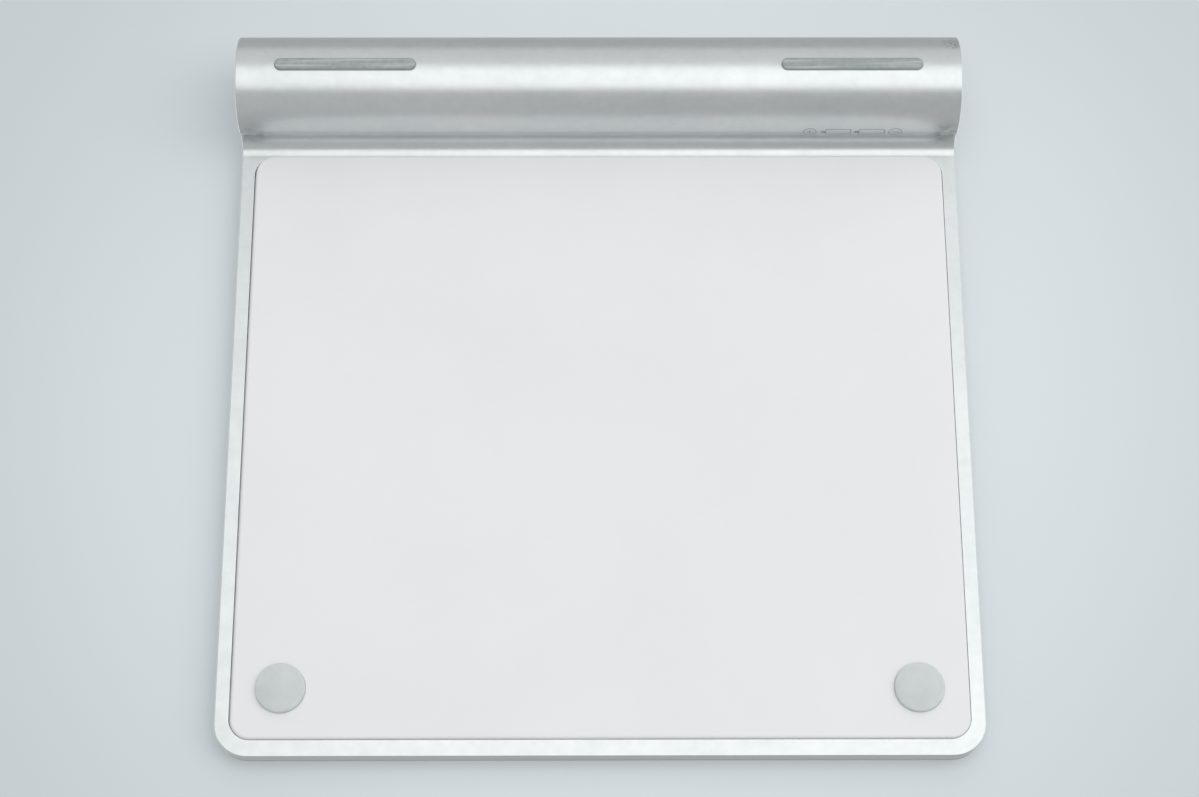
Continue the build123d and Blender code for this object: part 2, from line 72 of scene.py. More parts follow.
plate_up = np.array(joint_named["left_click"]["axis"], float)
plate_up /= np.linalg.norm(plate_up)
plate_right = np.array((1.0, 0.0, 0.0))
plate_back = np.cross(plate_up, plate_right)
plate_axes = np.stack((plate_right, plate_back, plate_up))
glass_in_axes = node_points("glass_top") @ plate_axes.T
plate_zero = np.array((0.0, glass_in_axes[:, 1].min(), glass_in_axes[:, 2].max())) @ plate_axes


def to_plate(points):
    """World points in plate directions: the point, less the zero corner, is dotted with each axis."""
    return (points - plate_zero) @ plate_axes.T


def to_world(points):
    """Plate points back in the world: the axes times the coordinates, added up, plus the zero corner."""
    return points @ plate_axes + plate_zero


def span(name):
    """Lowest and highest corner of a CAD node, in plate directions."""
    points = to_plate(node_points(name))
    return points.min(axis=0), points.max(axis=0)


print("tilt in degrees:", round(math.degrees(math.asin(-plate_up[1])), 3))

# %% [markdown]
# ## The camera
# A camera can be placed by eye until it looks right. This one was fitted to the straight edges in the
# photograph instead, with the object lying on its glass, so that sizes can be compared line by line. Its
# place is written in the photograph's own directions (right, up the picture, towards the camera), with zero
# at the middle of the front edge. Turning half round the y axis takes those to the plate's directions. The
# picture was cropped a little off the lens's middle, which a small lens shift gives back.

# %% Place the camera
photo_width_px = 1199
focal_length_px = 2457.0
sensor_width_mm = 36.0
middle_right_px = 0.55
middle_down_px = 1.0
camera_pitch = math.radians(19.6308)
camera_yaw = math.radians(-0.8210)
camera_roll = math.radians(0.7127)
camera_place = np.array((-1.9607, -81.9811, 411.6095)) * mm
nearest_seen = 5 * mm
photo_to_plate = np.diag((-1.0, 1.0, -1.0))


def place_camera():
    """The camera looks straight down, then is pitched up the picture, yawed about the vertical and rolled."""
    turn = Matrix.Rotation(camera_yaw, 3, "Z") @ Matrix.Rotation(camera_pitch, 3, "X")
    turn = np.array(turn @ Matrix.Rotation(camera_roll, 3, "Z"))
    matrix = np.eye(4)
    matrix[:3, :3] = plate_axes.T @ photo_to_plate @ turn
    matrix[:3, 3] = to_world(photo_to_plate @ camera_place)
    camera_data = bpy.data.cameras.new("underside_camera")
    camera_data.sensor_width = sensor_width_mm
    camera_data.lens = focal_length_px / photo_width_px * sensor_width_mm
    camera_data.shift_x = -middle_right_px / photo_width_px
    camera_data.shift_y = middle_down_px / photo_width_px
    camera_data.clip_start = nearest_seen
    camera = bpy.data.objects.new("underside_camera", camera_data)
    bpy.context.scene.collection.objects.link(camera)
    camera.matrix_world = Matrix(matrix.tolist())
    bpy.context.scene.camera = camera
    return camera


camera = place_camera()
print("camera at", [round(value, 4) for value in camera.matrix_world.translation])

# %% [markdown]
# ## Patches: the way every surface is made
# A mesh can be pushed and pulled by hand, or worked out. Here each surface is worked out as a patch: points,
# the outward direction at each point, and faces. A grid patch follows two parameters, and a flat patch
# fills an outline that may have holes. A piece is several patches welded together. Each patch keeps its own
# outward directions as custom normals, so flat faces stay flat and round ones stay round, with no modifier.

# %% Grid patches and flat patches
def grid_faces(rows, columns):
    """Four-cornered faces of a grid: corner (i, j) joins (i, j+1), (i+1, j+1) and (i+1, j)."""
    index = np.arange(rows * columns).reshape(rows, columns)
    corners = (index[:-1, :-1], index[:-1, 1:], index[1:, 1:], index[1:, :-1])
    return np.stack([corner.ravel() for corner in corners], axis=1)


def grid_patch(points, normals, wear_and_painted_light=None):
    """A patch from a grid of points and normals, both rows by columns by 3."""
    rows, columns = points.shape[:2]
    mark_values = np.zeros((rows, columns)) if wear_and_painted_light is None else np.broadcast_to(wear_and_painted_light, (rows, columns))
    return points.reshape(-1, 3), normals.reshape(-1, 3), grid_faces(rows, columns), mark_values.ravel()


def flat_patch(loops, normal):
    """A flat face inside the first loop and outside the others, cut into triangles."""
    triangles = tessellate_polygon([[tuple(point) for point in loop] for loop in loops])
    triangles = np.array(triangles, int).reshape(-1, 3)
    points = np.concatenate(loops)
    faces = np.concatenate((triangles, triangles[:, 2:]), axis=1)
    normals = np.broadcast_to(np.array(normal, float), points.shape)
    return points, normals, faces, np.zeros(len(points))


print("a 3 by 4 grid has", len(grid_faces(3, 4)), "faces")

# %% [markdown]
# ## Welding patches into a piece
# Blender can merge points by distance, but that forgets each patch's outward directions. So the welding is
# worked out too. Points of neighbouring patches that share a place become one vertex. A face whose winding
# disagrees with its patch's outward direction is reversed, and a corner that repeats the one before it is
# dropped, so that poles close as triangles. Whole arrays are handed to Blender with foreach_set.

# %% Weld patches and hand them to Blender
weld_step = 0.0002 * mm
shortest_normal = 1e-12


def joined(patches):
    """All patches as one set of arrays, with face numbers shifted to match."""
    starts = np.cumsum([0] + [len(patch[0]) for patch in patches[:-1]])
    faces = np.concatenate([patch[2] + start for patch, start in zip(patches, starts)])
    points, normals, wear_and_painted_light = (np.concatenate([patch[part] for patch in patches]) for part in (0, 1, 3))
    return points, normals, faces, wear_and_painted_light


def facing_out(points, normals, faces):
    """Faces wound so that the cross product of their diagonals points along their mean normal."""
    corners = points[faces]
    area = np.cross(corners[:, 2] - corners[:, 0], corners[:, 3] - corners[:, 1])
    inward = np.einsum("ij,ij->i", area, normals[faces].mean(axis=1)) < 0
    faces = faces.copy()
    faces[inward] = faces[inward][:, ::-1]
    return faces


def make_mesh(name, patches):
    """A mesh of welded patches, in the world, with custom normals and an attribute on its points that marks wear
    and painted light.
    """
    points, normals, faces, wear_and_painted_light = joined(patches)
    normals = normals / np.maximum(np.linalg.norm(normals, axis=1), shortest_normal)[:, None]
    faces = facing_out(points, normals, faces)
    keys = np.round(points / weld_step).astype(np.int64)
    _, first, vertex_of = np.unique(keys, axis=0, return_index=True, return_inverse=True)
    vertex_of = vertex_of.ravel()
    corners = vertex_of[faces]
    kept = corners != np.roll(corners, 1, axis=1)
    kept &= (kept.sum(axis=1) > 2)[:, None]
    counts = kept.sum(axis=1)
    counts = counts[counts > 0]
    mesh = bpy.data.meshes.new(name)
    mesh.vertices.add(len(first))
    mesh.vertices.foreach_set("co", to_world(points[first]).ravel())
    mesh.loops.add(int(kept.sum()))
    mesh.loops.foreach_set("vertex_index", corners[kept])
    mesh.polygons.add(len(counts))
    mesh.polygons.foreach_set("loop_start", np.concatenate(([0], np.cumsum(counts)[:-1])))
    mesh.update(calc_edges=True)
    mesh.polygons.foreach_set("use_smooth", np.ones(len(counts), bool))
    mesh.attributes.new("wear_and_painted_light", "FLOAT", "POINT").data.foreach_set("value", wear_and_painted_light[first])
    mesh.normals_split_custom_set(normals[faces[kept]] @ plate_axes)
    mesh.validate()
    return mesh


def add_piece(name, patches, body, slot, material, *replaced):
    """A finished piece: it rides on a body, takes the finish it is given and stands for CAD nodes. Its slot is not
    used.
    """
    piece = bpy.data.objects.new(name, make_mesh(name, patches))
    bpy.context.scene.collection.objects.link(piece)
    piece.data.materials.append(material)
    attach(piece, body)
    if replaced:
        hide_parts(*replaced)
    print(name, "faces", len(piece.data.polygons))
    return piece


print("points closer than", weld_step, "m are welded")

# %% [markdown]
# ## Outlines and soft edges
# Most edges here are rounded rectangles, circles and stadiums, seen square on to the plate. Each outline is
# a closed row of points with its outward directions. A Bevel modifier could soften their edges, all alike.
# Instead an outline is drawn in by some distance and lifted by another, step by step round a quarter circle,
# which lets the softness change along the edge.

# %% Closed outlines in the plate's plane
corner_steps = 16
edge_steps = 6
circle_steps = 96
half_circle_steps = 24
side_step = 0.4 * mm


def arc_angles(start, end, steps):
    """Angles in radians from start to end degrees, both included."""
    return np.radians(np.linspace(start, end, steps + 1))


def closed(array):
    """The rows with the first one repeated at the end."""
    return np.concatenate((array, array[:1]))


def box_outline(low, high, corners):
    """A rounded rectangle: a quarter circle about each corner's centre. Corners run from front left,
    anticlockwise."""
    points, normals = [], []
    places = ((low[0], low[1], 1, 1), (high[0], low[1], -1, 1),
              (high[0], high[1], -1, -1), (low[0], high[1], 1, -1))
    for number, (x, y, inward_x, inward_y) in enumerate(places):
        angles = arc_angles(180 + 90 * number, 270 + 90 * number, corner_steps)
        round_part = np.stack((np.cos(angles), np.sin(angles)), axis=1)
        centre = np.array((x + inward_x * corners[number], y + inward_y * corners[number]))
        points.append(centre + corners[number] * round_part)
        normals.append(round_part)
    return closed(np.concatenate(points)), closed(np.concatenate(normals))


def circle_outline(x, y, radius):
    """A circle: the centre plus the radius times cosine and sine."""
    angles = arc_angles(0, 360, circle_steps)[:-1]
    round_part = np.stack((np.cos(angles), np.sin(angles)), axis=1)
    return closed(np.array((x, y)) + radius * round_part), closed(round_part)


def stadium_outline(x, y, length, width):
    """Two half circles joined by straight sides along x, which have a point every side step."""
    reach = (length - width) / 2
    side = np.linspace(-reach, reach, int(round(2 * reach / side_step)) + 1)[1:-1, None]
    arcs = []
    for start in (-90, 90):
        angles = arc_angles(start, start + 180, half_circle_steps)
        arcs.append(np.stack((np.cos(angles), np.sin(angles)), axis=1))
    top = np.concatenate((-side, np.full_like(side, width / 2)), axis=1)
    points = [arcs[0] * width / 2 + (reach, 0), top, arcs[1] * width / 2 - (reach, 0), -top]
    up = np.broadcast_to((0.0, 1.0), top.shape)
    return closed(np.concatenate(points) + (x, y)), closed(np.concatenate((arcs[0], up, arcs[1], -up)))


def raised(outline, height):
    """An outline's points at one height, or at a height for each point, as rows of x, y, z."""
    return np.column_stack((outline, np.broadcast_to(height, len(outline))))


def loop_at(outline, height):
    """A closed outline as a loop of a flat face: without the repeated point, at one height."""
    return raised(outline[0], height)[:-1]


print("a rounded rectangle has", 4 * (corner_steps + 1), "points")

# %% Walls and soft edges along an outline
def wall_patch(outline, low, high, inward=False):
    """An upright wall: the outline at two heights, facing out, or in for a hole."""
    facing = raised(outline[1], 0) * (-1 if inward else 1)
    grid = np.stack((raised(outline[0], low), raised(outline[0], high)))
    return grid_patch(grid, np.stack((facing, facing)))


def edge_patch(outline, level, radius, upward, inward=False):
    """A quarter round between a wall and a flat face: the outline drawn in by radius times 1 - cos a, at the
    level less radius times 1 - sin a. The face looks up or down, and a hole's lip is drawn outwards. The
    radius is one number, or one for each point of the outline. The mark for wear and painted shade is the
    sine of 2a, most in mid-edge."""
    angles = arc_angles(0, 90, edge_steps)[:, None, None]
    radius = np.broadcast_to(radius, len(outline[0]))[None, :, None]
    side = -1 if inward else 1
    points, normals = outline[0][None], outline[1][None] * side
    plan = points - normals * radius * (1 - np.cos(angles))
    height = level - upward * radius * (1 - np.sin(angles))
    facing = normals * np.cos(angles)
    lift = np.broadcast_to(upward * np.sin(angles), facing.shape[:2] + (1,))
    wear_and_painted_light = np.sin(2 * angles[:, :, 0])
    return grid_patch(np.concatenate((plan, height), axis=2), np.concatenate((facing, lift), axis=2), wear_and_painted_light)


def drawn_in(outline, distance):
    """The outline moved against its outward directions, by one distance or by one for each point."""
    return outline[0] - outline[1] * np.broadcast_to(distance, len(outline[0]))[:, None], outline[1]


def soft_slab(outline, low, high, low_edge, high_edge, holes=()):
    """A flat piece with rounded lower and upper edges. Each hole is an outline with a lip radius."""
    patches = [wall_patch(outline, low + low_edge, high - high_edge)]
    patches.append(edge_patch(outline, low, low_edge, -1))
    patches.append(edge_patch(outline, high, high_edge, 1))
    low_loops = [loop_at(drawn_in(outline, low_edge), low)]
    high_loops = [loop_at(drawn_in(outline, high_edge), high)]
    for hole, lip in holes:
        patches.append(wall_patch(hole, low + lip, high - lip, inward=True))
        patches.append(edge_patch(hole, low, lip, -1, inward=True))
        patches.append(edge_patch(hole, high, lip, 1, inward=True))
        low_loops.append(loop_at(drawn_in(hole, -lip), low))
        high_loops.append(loop_at(drawn_in(hole, -lip), high))
    patches.append(flat_patch(low_loops, (0, 0, -1)))
    patches.append(flat_patch(high_loops, (0, 0, 1)))
    return patches


print("edges are rounded in", edge_steps, "steps")

# %% [markdown]
# ## Turned pieces
# Feet, button, cap and the tube's ends are all turned about an axis. Blender's Screw modifier can spin a
# profile, but then its slope at each point is only guessed from the faces. Here a profile, given as distance
# along the axis, radius and slope, is carried round a circle. Profile stretches with corners between them
# are kept as separate patches, so that the corners stay crisp.

# %% Surfaces of revolution
turn_steps = 128


def turned_patch(along, radius, slope, centre, axis, wear_and_painted_light=None):
    """Point: centre + axis times along + radius times (cos a, sin a) across it. Normal: the profile's own
    normal, slope = (part along the axis, part outwards), carried round in the same way."""
    angles = np.radians(np.linspace(0, 360, turn_steps + 1))[None, :, None]
    axis = np.array(axis, float)
    first = np.array((0.0, 1.0, 0.0)) if abs(axis[0]) > 0.5 else np.array((1.0, 0.0, 0.0))
    second = np.cross(axis, first)
    across = np.cos(angles) * first + np.sin(angles) * second
    along, radius = np.array(along, float)[:, None, None], np.array(radius, float)[:, None, None]
    slope = np.broadcast_to(np.array(slope, float), (len(along), 2))[:, None, :]
    points = np.array(centre) + axis * along + across * radius
    normals = axis * slope[:, :, :1] + across * slope[:, :, 1:]
    wear_grid = None if wear_and_painted_light is None else np.asarray(wear_and_painted_light)[:, None]
    return grid_patch(points, normals, wear_grid)


def turned_edge(along, radius, size, outward, centre, axis, inward=False):
    """A quarter round between a turned wall and the flat face at along, which looks along outward times the
    axis: the wall's radius less size times 1 - cos a, at the face less size times 1 - sin a."""
    angles = arc_angles(0, 90, edge_steps)
    side = -1 if inward else 1
    places = along - outward * size * (1 - np.sin(angles))
    radii = radius - side * size * (1 - np.cos(angles))
    slope = np.stack((outward * np.sin(angles), side * np.cos(angles)), axis=1)
    return turned_patch(places, radii, slope, centre, axis, np.sin(2 * angles))


print("turned pieces have", turn_steps, "sides")

# %% [markdown]
# ## Materials: shared effects
# Real finishes are never one flat colour. Four effects serve most of them: a mottle that shifts the colour
# a little over centimetres, a fine grain that gives the surface its tooth, wear that follows the rounded
# edges, and dark patches at chosen places. Each is a node group with named sockets, made once. A group gives out
# colours, masks and heights only; the shader itself stays in each material.

# %% Node helpers
def new_group(name, inputs, outputs):
    """An empty node group with named sockets, given as name: (socket type, default value)."""
    group = bpy.data.node_groups.new(name, "ShaderNodeTree")
    for label, (kind, value) in inputs.items():
        socket = group.interface.new_socket(label, in_out="INPUT", socket_type=kind)
        if value is not None:
            socket.default_value = value
    for label, kind in outputs.items():
        group.interface.new_socket(label, in_out="OUTPUT", socket_type=kind)
    return group, group.nodes.new("NodeGroupInput"), group.nodes.new("NodeGroupOutput")


def add_node(tree, kind, links=None, **values):
    """A node with its settings, its unlinked inputs (by name with underscores) and its links, input name:
    socket."""
    node = tree.nodes.new("ShaderNode" + kind)
    for key, value in values.items():
        if hasattr(node, key):
            setattr(node, key, value)
        else:
            node.inputs[key.replace("_", " ")].default_value = value
    for key, source in (links or {}).items():
        tree.links.new(source, node.inputs[key])
    return node


def mixed(tree, factor, low, high, blend="MIX"):
    """A colour mix. Each of low and high is a colour or a socket."""
    node = add_node(tree, "Mix", data_type="RGBA", blend_type=blend)
    for place, value in ((0, factor), (6, low), (7, high)):
        if hasattr(value, "links"):
            tree.links.new(value, node.inputs[place])
        else:
            node.inputs[place].default_value = value if place == 0 else (*value, 1)
    return node.outputs[2]


def remapped(tree, value, low, high, new_low, new_high):
    """A value carried from one range to another, smoothly at both ends."""
    node = add_node(tree, "MapRange", {"Value": value}, interpolation_type="SMOOTHSTEP")
    for key, number in (("From Min", low), ("From Max", high), ("To Min", new_low), ("To Max", new_high)):
        node.inputs[key].default_value = number
    return node.outputs["Result"]


print("node helpers ready")

# %% Four shared effects
noise_span = (0.3, 0.7)
coarse_share = 0.06


def make_mottle():
    """Cloudy change of colour: layered noise, spread smoothly between a low and a high colour."""
    group, start, end = new_group(
        "mottle",
        {"Vector": ("NodeSocketVector", None), "Clouds per metre": ("NodeSocketFloat", 60.0),
         "Low": ("NodeSocketColor", (0.5, 0.5, 0.5, 1)), "High": ("NodeSocketColor", (0.6, 0.6, 0.6, 1))},
        {"Color": "NodeSocketColor"})
    clouds = add_node(group, "TexNoise",
                      {"Vector": start.outputs["Vector"], "Scale": start.outputs["Clouds per metre"]},
                      Detail=4.0, Roughness=0.6)
    mask = remapped(group, clouds.outputs["Fac"], *noise_span, 0.0, 1.0)
    colour = mixed(group, mask, start.outputs["Low"], start.outputs["High"])
    group.links.new(colour, end.inputs["Color"])
    return group


def make_grain():
    """Fine tooth of a blasted or moulded surface: small noise for the height, coarser noise for roughness."""
    group, start, end = new_group(
        "grain",
        {"Vector": ("NodeSocketVector", None), "Grains per metre": ("NodeSocketFloat", 4000.0),
         "Rough low": ("NodeSocketFloat", 0.3), "Rough high": ("NodeSocketFloat", 0.4)},
        {"Height": "NodeSocketFloat", "Roughness": "NodeSocketFloat"})
    fine = add_node(group, "TexNoise",
                    {"Vector": start.outputs["Vector"], "Scale": start.outputs["Grains per metre"]},
                    Detail=3.0, Roughness=0.55)
    coarse_scale = add_node(group, "Math", {0: start.outputs["Grains per metre"]}, operation="MULTIPLY")
    coarse_scale.inputs[1].default_value = coarse_share
    coarse = add_node(group, "TexNoise",
                      {"Vector": start.outputs["Vector"], "Scale": coarse_scale.outputs[0]},
                      Detail=5.0, Roughness=0.6)
    spread = add_node(group, "MapRange",
                      {"Value": coarse.outputs["Fac"], "To Min": start.outputs["Rough low"],
                       "To Max": start.outputs["Rough high"]},
                      From_Min=noise_span[0], From_Max=noise_span[1])
    group.links.new(fine.outputs["Fac"], end.inputs["Height"])
    group.links.new(spread.outputs["Result"], end.inputs["Roughness"])
    return group


def make_edge_wear():
    """Wear on rounded edges: the edge mask times noise, so that it comes and goes along the edge."""
    group, start, end = new_group(
        "edge_wear",
        {"Vector": ("NodeSocketVector", None), "Edge": ("NodeSocketFloat", 0.0),
         "Amount": ("NodeSocketFloat", 1.0)},
        {"Mask": "NodeSocketFloat"})
    noise = add_node(group, "TexNoise", {"Vector": start.outputs["Vector"]}, Scale=400.0, Detail=4.0)
    patchy = remapped(group, noise.outputs["Fac"], 0.35, 0.75, 0.15, 1.0)
    first = add_node(group, "Math", {0: start.outputs["Edge"], 1: patchy}, operation="MULTIPLY")
    second = add_node(group, "Math", {0: first.outputs[0], 1: start.outputs["Amount"]}, operation="MULTIPLY")
    group.links.new(second.outputs[0], end.inputs["Mask"])
    return group


def make_dark_patch():
    """A patchy spot: 1 at its place, falling to 0 at its reach, times noise so that its border is ragged."""
    group, start, end = new_group(
        "dark_patch",
        {"Vector": ("NodeSocketVector", None), "Place": ("NodeSocketVector", None),
         "Reach": ("NodeSocketFloat", 0.003), "Patches per metre": ("NodeSocketFloat", 1500.0),
         "Amount": ("NodeSocketFloat", 1.0)},
        {"Mask": "NodeSocketFloat"})
    away = add_node(group, "VectorMath", {0: start.outputs["Vector"], 1: start.outputs["Place"]},
                    operation="DISTANCE")
    share = add_node(group, "Math", {0: away.outputs["Value"], 1: start.outputs["Reach"]}, operation="DIVIDE")
    near = remapped(group, share.outputs[0], 0.3, 1.0, 1.0, 0.0)
    noise = add_node(group, "TexNoise",
                     {"Vector": start.outputs["Vector"], "Scale": start.outputs["Patches per metre"]},
                     Detail=4.0)
    patchy = remapped(group, noise.outputs["Fac"], 0.42, 0.62, 0.0, 1.0)
    first = add_node(group, "Math", {0: near, 1: patchy}, operation="MULTIPLY")
    second = add_node(group, "Math", {0: first.outputs[0], 1: start.outputs["Amount"]}, operation="MULTIPLY")
    group.links.new(second.outputs[0], end.inputs["Mask"])
    return group


mottle_group = make_mottle()
grain_group = make_grain()
edge_wear_group = make_edge_wear()
dark_patch_group = make_dark_patch()
print("node groups:", [group.name for group in bpy.data.node_groups])

# %% [markdown]
# ## A finish from the shared effects
# Every finish here starts the same way: Object coordinates feed the mottle and the grain, these feed Base
# Color, Roughness and a Bump node. Constants such as metallic or coat go straight on the shader's sockets.
# Each could be built by hand in the node editor, but a function keeps them alike, and a finish that needs
# more, such as the tube's dark smudges, is built on top of this start.

# %% Start a material
grain_height = 0.02 * mm


def use_group(tree, group, links, **values):
    """One shared effect placed in a material with its own values."""
    node = tree.nodes.new("ShaderNodeGroup")
    node.node_tree = group
    for key, value in values.items():
        node.inputs[key.replace("_", " ")].default_value = value
    for key, source in links.items():
        tree.links.new(source, node.inputs[key])
    return node


def start_finish(name, low, high, clouds, grains, rough, bump, **shader):
    """A material with mottle and grain. Returns it with its tree, shader, coordinates and mottle. Clouds and
    grains are how many of each the noise has per metre."""
    material = bpy.data.materials.new(name)
    material.use_nodes = True
    tree = material.node_tree
    principled = tree.nodes["Principled BSDF"]
    coordinates = add_node(tree, "TexCoord").outputs["Object"]
    mottle = use_group(tree, mottle_group, {"Vector": coordinates}, Clouds_per_metre=clouds,
                       Low=(*low, 1), High=(*high, 1))
    grain = use_group(tree, grain_group, {"Vector": coordinates}, Grains_per_metre=grains,
                      Rough_low=rough[0], Rough_high=rough[1])
    relief = add_node(tree, "Bump", {"Height": grain.outputs["Height"]}, Strength=bump, Distance=grain_height)
    tree.links.new(mottle.outputs["Color"], principled.inputs["Base Color"])
    tree.links.new(grain.outputs["Roughness"], principled.inputs["Roughness"])
    tree.links.new(relief.outputs["Normal"], principled.inputs["Normal"])
    for key, value in shader.items():
        principled.inputs[key.replace("_", " ")].default_value = value
    return material, tree, principled, coordinates, mottle


def plain_finish(*settings, **shader):
    """A material that needs no more than mottle and grain."""
    return start_finish(*settings, **shader)[0]


print("finish helper ready")

# %% [markdown]
# ## Anodised aluminium
# The body is one milled piece, blasted with fine beads and clear anodised. It reads as a pale metal with a
# soft sheen: metallic 1 and a roughness near 0.33 spread the lamp into a broad band along the tube. Wear
# could be painted on by hand, but a mask on the mesh's own points follows the shape by itself. Edges are a
# little brighter where hands have polished them. The same mask carries painted light that brightens the
# hollow under the tube and painted shade that darkens the coin slot, and dark patches darken the hollows at
# both ends of the tube.

# %% Aluminium
# Each dark patch: its place in mm in the plate's directions, its reach in mm, patches per metre and amount.
dark_patches = (((62.5, 113.0, -8.3), 4.5, 700.0, 0.5),
           ((-62.5, 113.0, -8.3), 4.5, 700.0, 0.6),
           ((-63.8, 127.0, -16.4), 2.6, 3200.0, 0.85))
blasted_low = (0.655, 0.685, 0.685)
blasted_high = (0.69, 0.715, 0.715)
speckle_low = (0.955, 0.96, 0.965)
polished_edge = (0.78, 0.81, 0.81)
crease_painted_light = (0.92, 0.945, 0.945)
slot_painted_shade = (0.30, 0.31, 0.315)
dark_patch_colour = (0.40, 0.41, 0.42)


def make_aluminium():
    """Pale grey metal: fine speckle, brighter on worn edges (mark 0 to 1), with painted light in the hollow
    under the tube (mark under 0), painted shade in the coin slot (mark 2), and dark patches at the tube's ends."""
    material, tree, principled, coordinates, mottle = start_finish(
        "bead_blasted_aluminium", blasted_low, blasted_high, 45.0, 5200.0, (0.29, 0.36), 0.35, Metallic=1.0)
    speckle = use_group(tree, mottle_group, {"Vector": coordinates}, Clouds_per_metre=700.0,
                        Low=(*speckle_low, 1), High=(1.0, 1.0, 1.0, 1))
    colour = mixed(tree, 1.0, mottle.outputs["Color"], speckle.outputs["Color"], "MULTIPLY")
    edge = add_node(tree, "Attribute", attribute_name="wear_and_painted_light")
    wear_and_painted_light = use_group(tree, edge_wear_group, {"Vector": coordinates, "Edge": edge.outputs["Fac"]}, Amount=0.45)
    colour = mixed(tree, wear_and_painted_light.outputs["Mask"], colour, polished_edge)
    # Painted light: the colour is brightened in the hollow under the tube, where the mark is under 0.
    painted_light_mask = remapped(tree, edge.outputs["Fac"], 0.0, -1.0, 0.0, 1.0)
    colour = mixed(tree, painted_light_mask, colour, crease_painted_light)
    # Painted shade: the colour is darkened in the coin slot, where the mark is 2.
    painted_shade_mask = remapped(tree, edge.outputs["Fac"], 1.0, 2.0, 0.0, 0.85)
    colour = mixed(tree, painted_shade_mask, colour, slot_painted_shade)
    # Dark patches: the colour is darker at three chosen places by the tube's ends.
    for place, reach, patches, amount in dark_patches:
        spot = use_group(tree, dark_patch_group, {"Vector": coordinates}, Reach=reach * mm,
                         Patches_per_metre=patches, Amount=amount, Place=to_world(np.array(place) * mm))
        colour = mixed(tree, spot.outputs["Mask"], colour, dark_patch_colour)
    tree.links.new(colour, principled.inputs["Base Color"])
    return material


aluminium = make_aluminium()
print("made", aluminium.name, "with", len(dark_patches), "dark_patches")

# %% [markdown]
# ## Plastics, rubber and glass
# The cover is satin white plastic, the feet are a translucent grey rubber that lets a little light in, and
# the strips are a darker rubber with a wiped, streaky surface. The glass is a matt-etched sheet over a pale
# backing, so it reads as a smooth silver-white face. One flat colour would do for a toy, but even clean
# plastic shifts a little in shade and gloss, so each has its own mottle and grain.

# %% Cover, feet, strips and glass
wiped_streak = (0.55, 0.59, 0.58)
strip_edge_painted_shade = (0.22, 0.26, 0.25)
glass_side_painted_shade = (0.40, 0.43, 0.46)


def make_strip_rubber():
    """Grey rubber with long pale streaks: noise stretched along x lightens the colour, and painted shade darkens
    the edge."""
    material, tree, principled, coordinates, mottle = start_finish(
        "streaked_strip_rubber", (0.32, 0.365, 0.355), (0.395, 0.445, 0.435), 900.0, 3000.0, (0.55, 0.7), 0.5)
    stretch = add_node(tree, "Mapping", {"Vector": coordinates}, Scale=(60.0, 1400.0, 1400.0))
    streaks = add_node(tree, "TexNoise", {"Vector": stretch.outputs["Vector"]}, Scale=1.0, Detail=3.0)
    mask = remapped(tree, streaks.outputs["Fac"], 0.45, 0.7, 0.0, 0.8)
    colour = mixed(tree, mask, mottle.outputs["Color"], wiped_streak)
    edge = add_node(tree, "Attribute", attribute_name="wear_and_painted_light")
    # Painted shade along the strip's rounded edge.
    painted_shade_mask = remapped(tree, edge.outputs["Fac"], 0.0, 1.0, 0.0, 0.3)
    colour = mixed(tree, painted_shade_mask, colour, strip_edge_painted_shade)
    tree.links.new(colour, principled.inputs["Base Color"])
    return material


def make_touch_glass():
    """Pale etched glass whose side, marked on its points, is a darker grey: painted shade under the glass's edge.
    """
    material, tree, principled, _, mottle = start_finish(
        "etched_glass", (0.80, 0.81, 0.82), (0.83, 0.84, 0.85), 20.0, 9000.0, (0.38, 0.42), 0.08,
        Coat_Weight=0.3, Coat_Roughness=0.25)
    side = add_node(tree, "Attribute", attribute_name="wear_and_painted_light")
    # Painted shade on the glass's side.
    colour = mixed(tree, side.outputs["Fac"], mottle.outputs["Color"], glass_side_painted_shade)
    tree.links.new(colour, principled.inputs["Base Color"])
    return material


cover_plastic = plain_finish("satin_white_plastic", (0.89, 0.902, 0.909), (0.915, 0.924, 0.929), 30.0, 3500.0,
                             (0.42, 0.5), 0.12, Specular_IOR_Level=0.45)
foot_rubber = plain_finish("translucent_foot_rubber", (0.635, 0.685, 0.68), (0.70, 0.74, 0.735), 260.0,
                           2600.0, (0.5, 0.6), 0.25, Subsurface_Weight=0.2, Subsurface_Scale=1.0 * mm,
                           Subsurface_Radius=(1.0, 1.0, 1.0))
strip_rubber = make_strip_rubber()
touch_glass = make_touch_glass()
print("materials so far:", len(bpy.data.materials))

# %% [markdown]
# ## The inner pieces
# Cells, boards, contacts and plungers only show when a pose opens a gap, such as the cap unscrewed, but
# each still gets its true finish. They could be drawn anew as well, but their CAD shape is already right.
# One table of finishes, under the names that the record uses, dresses them all in one loop.

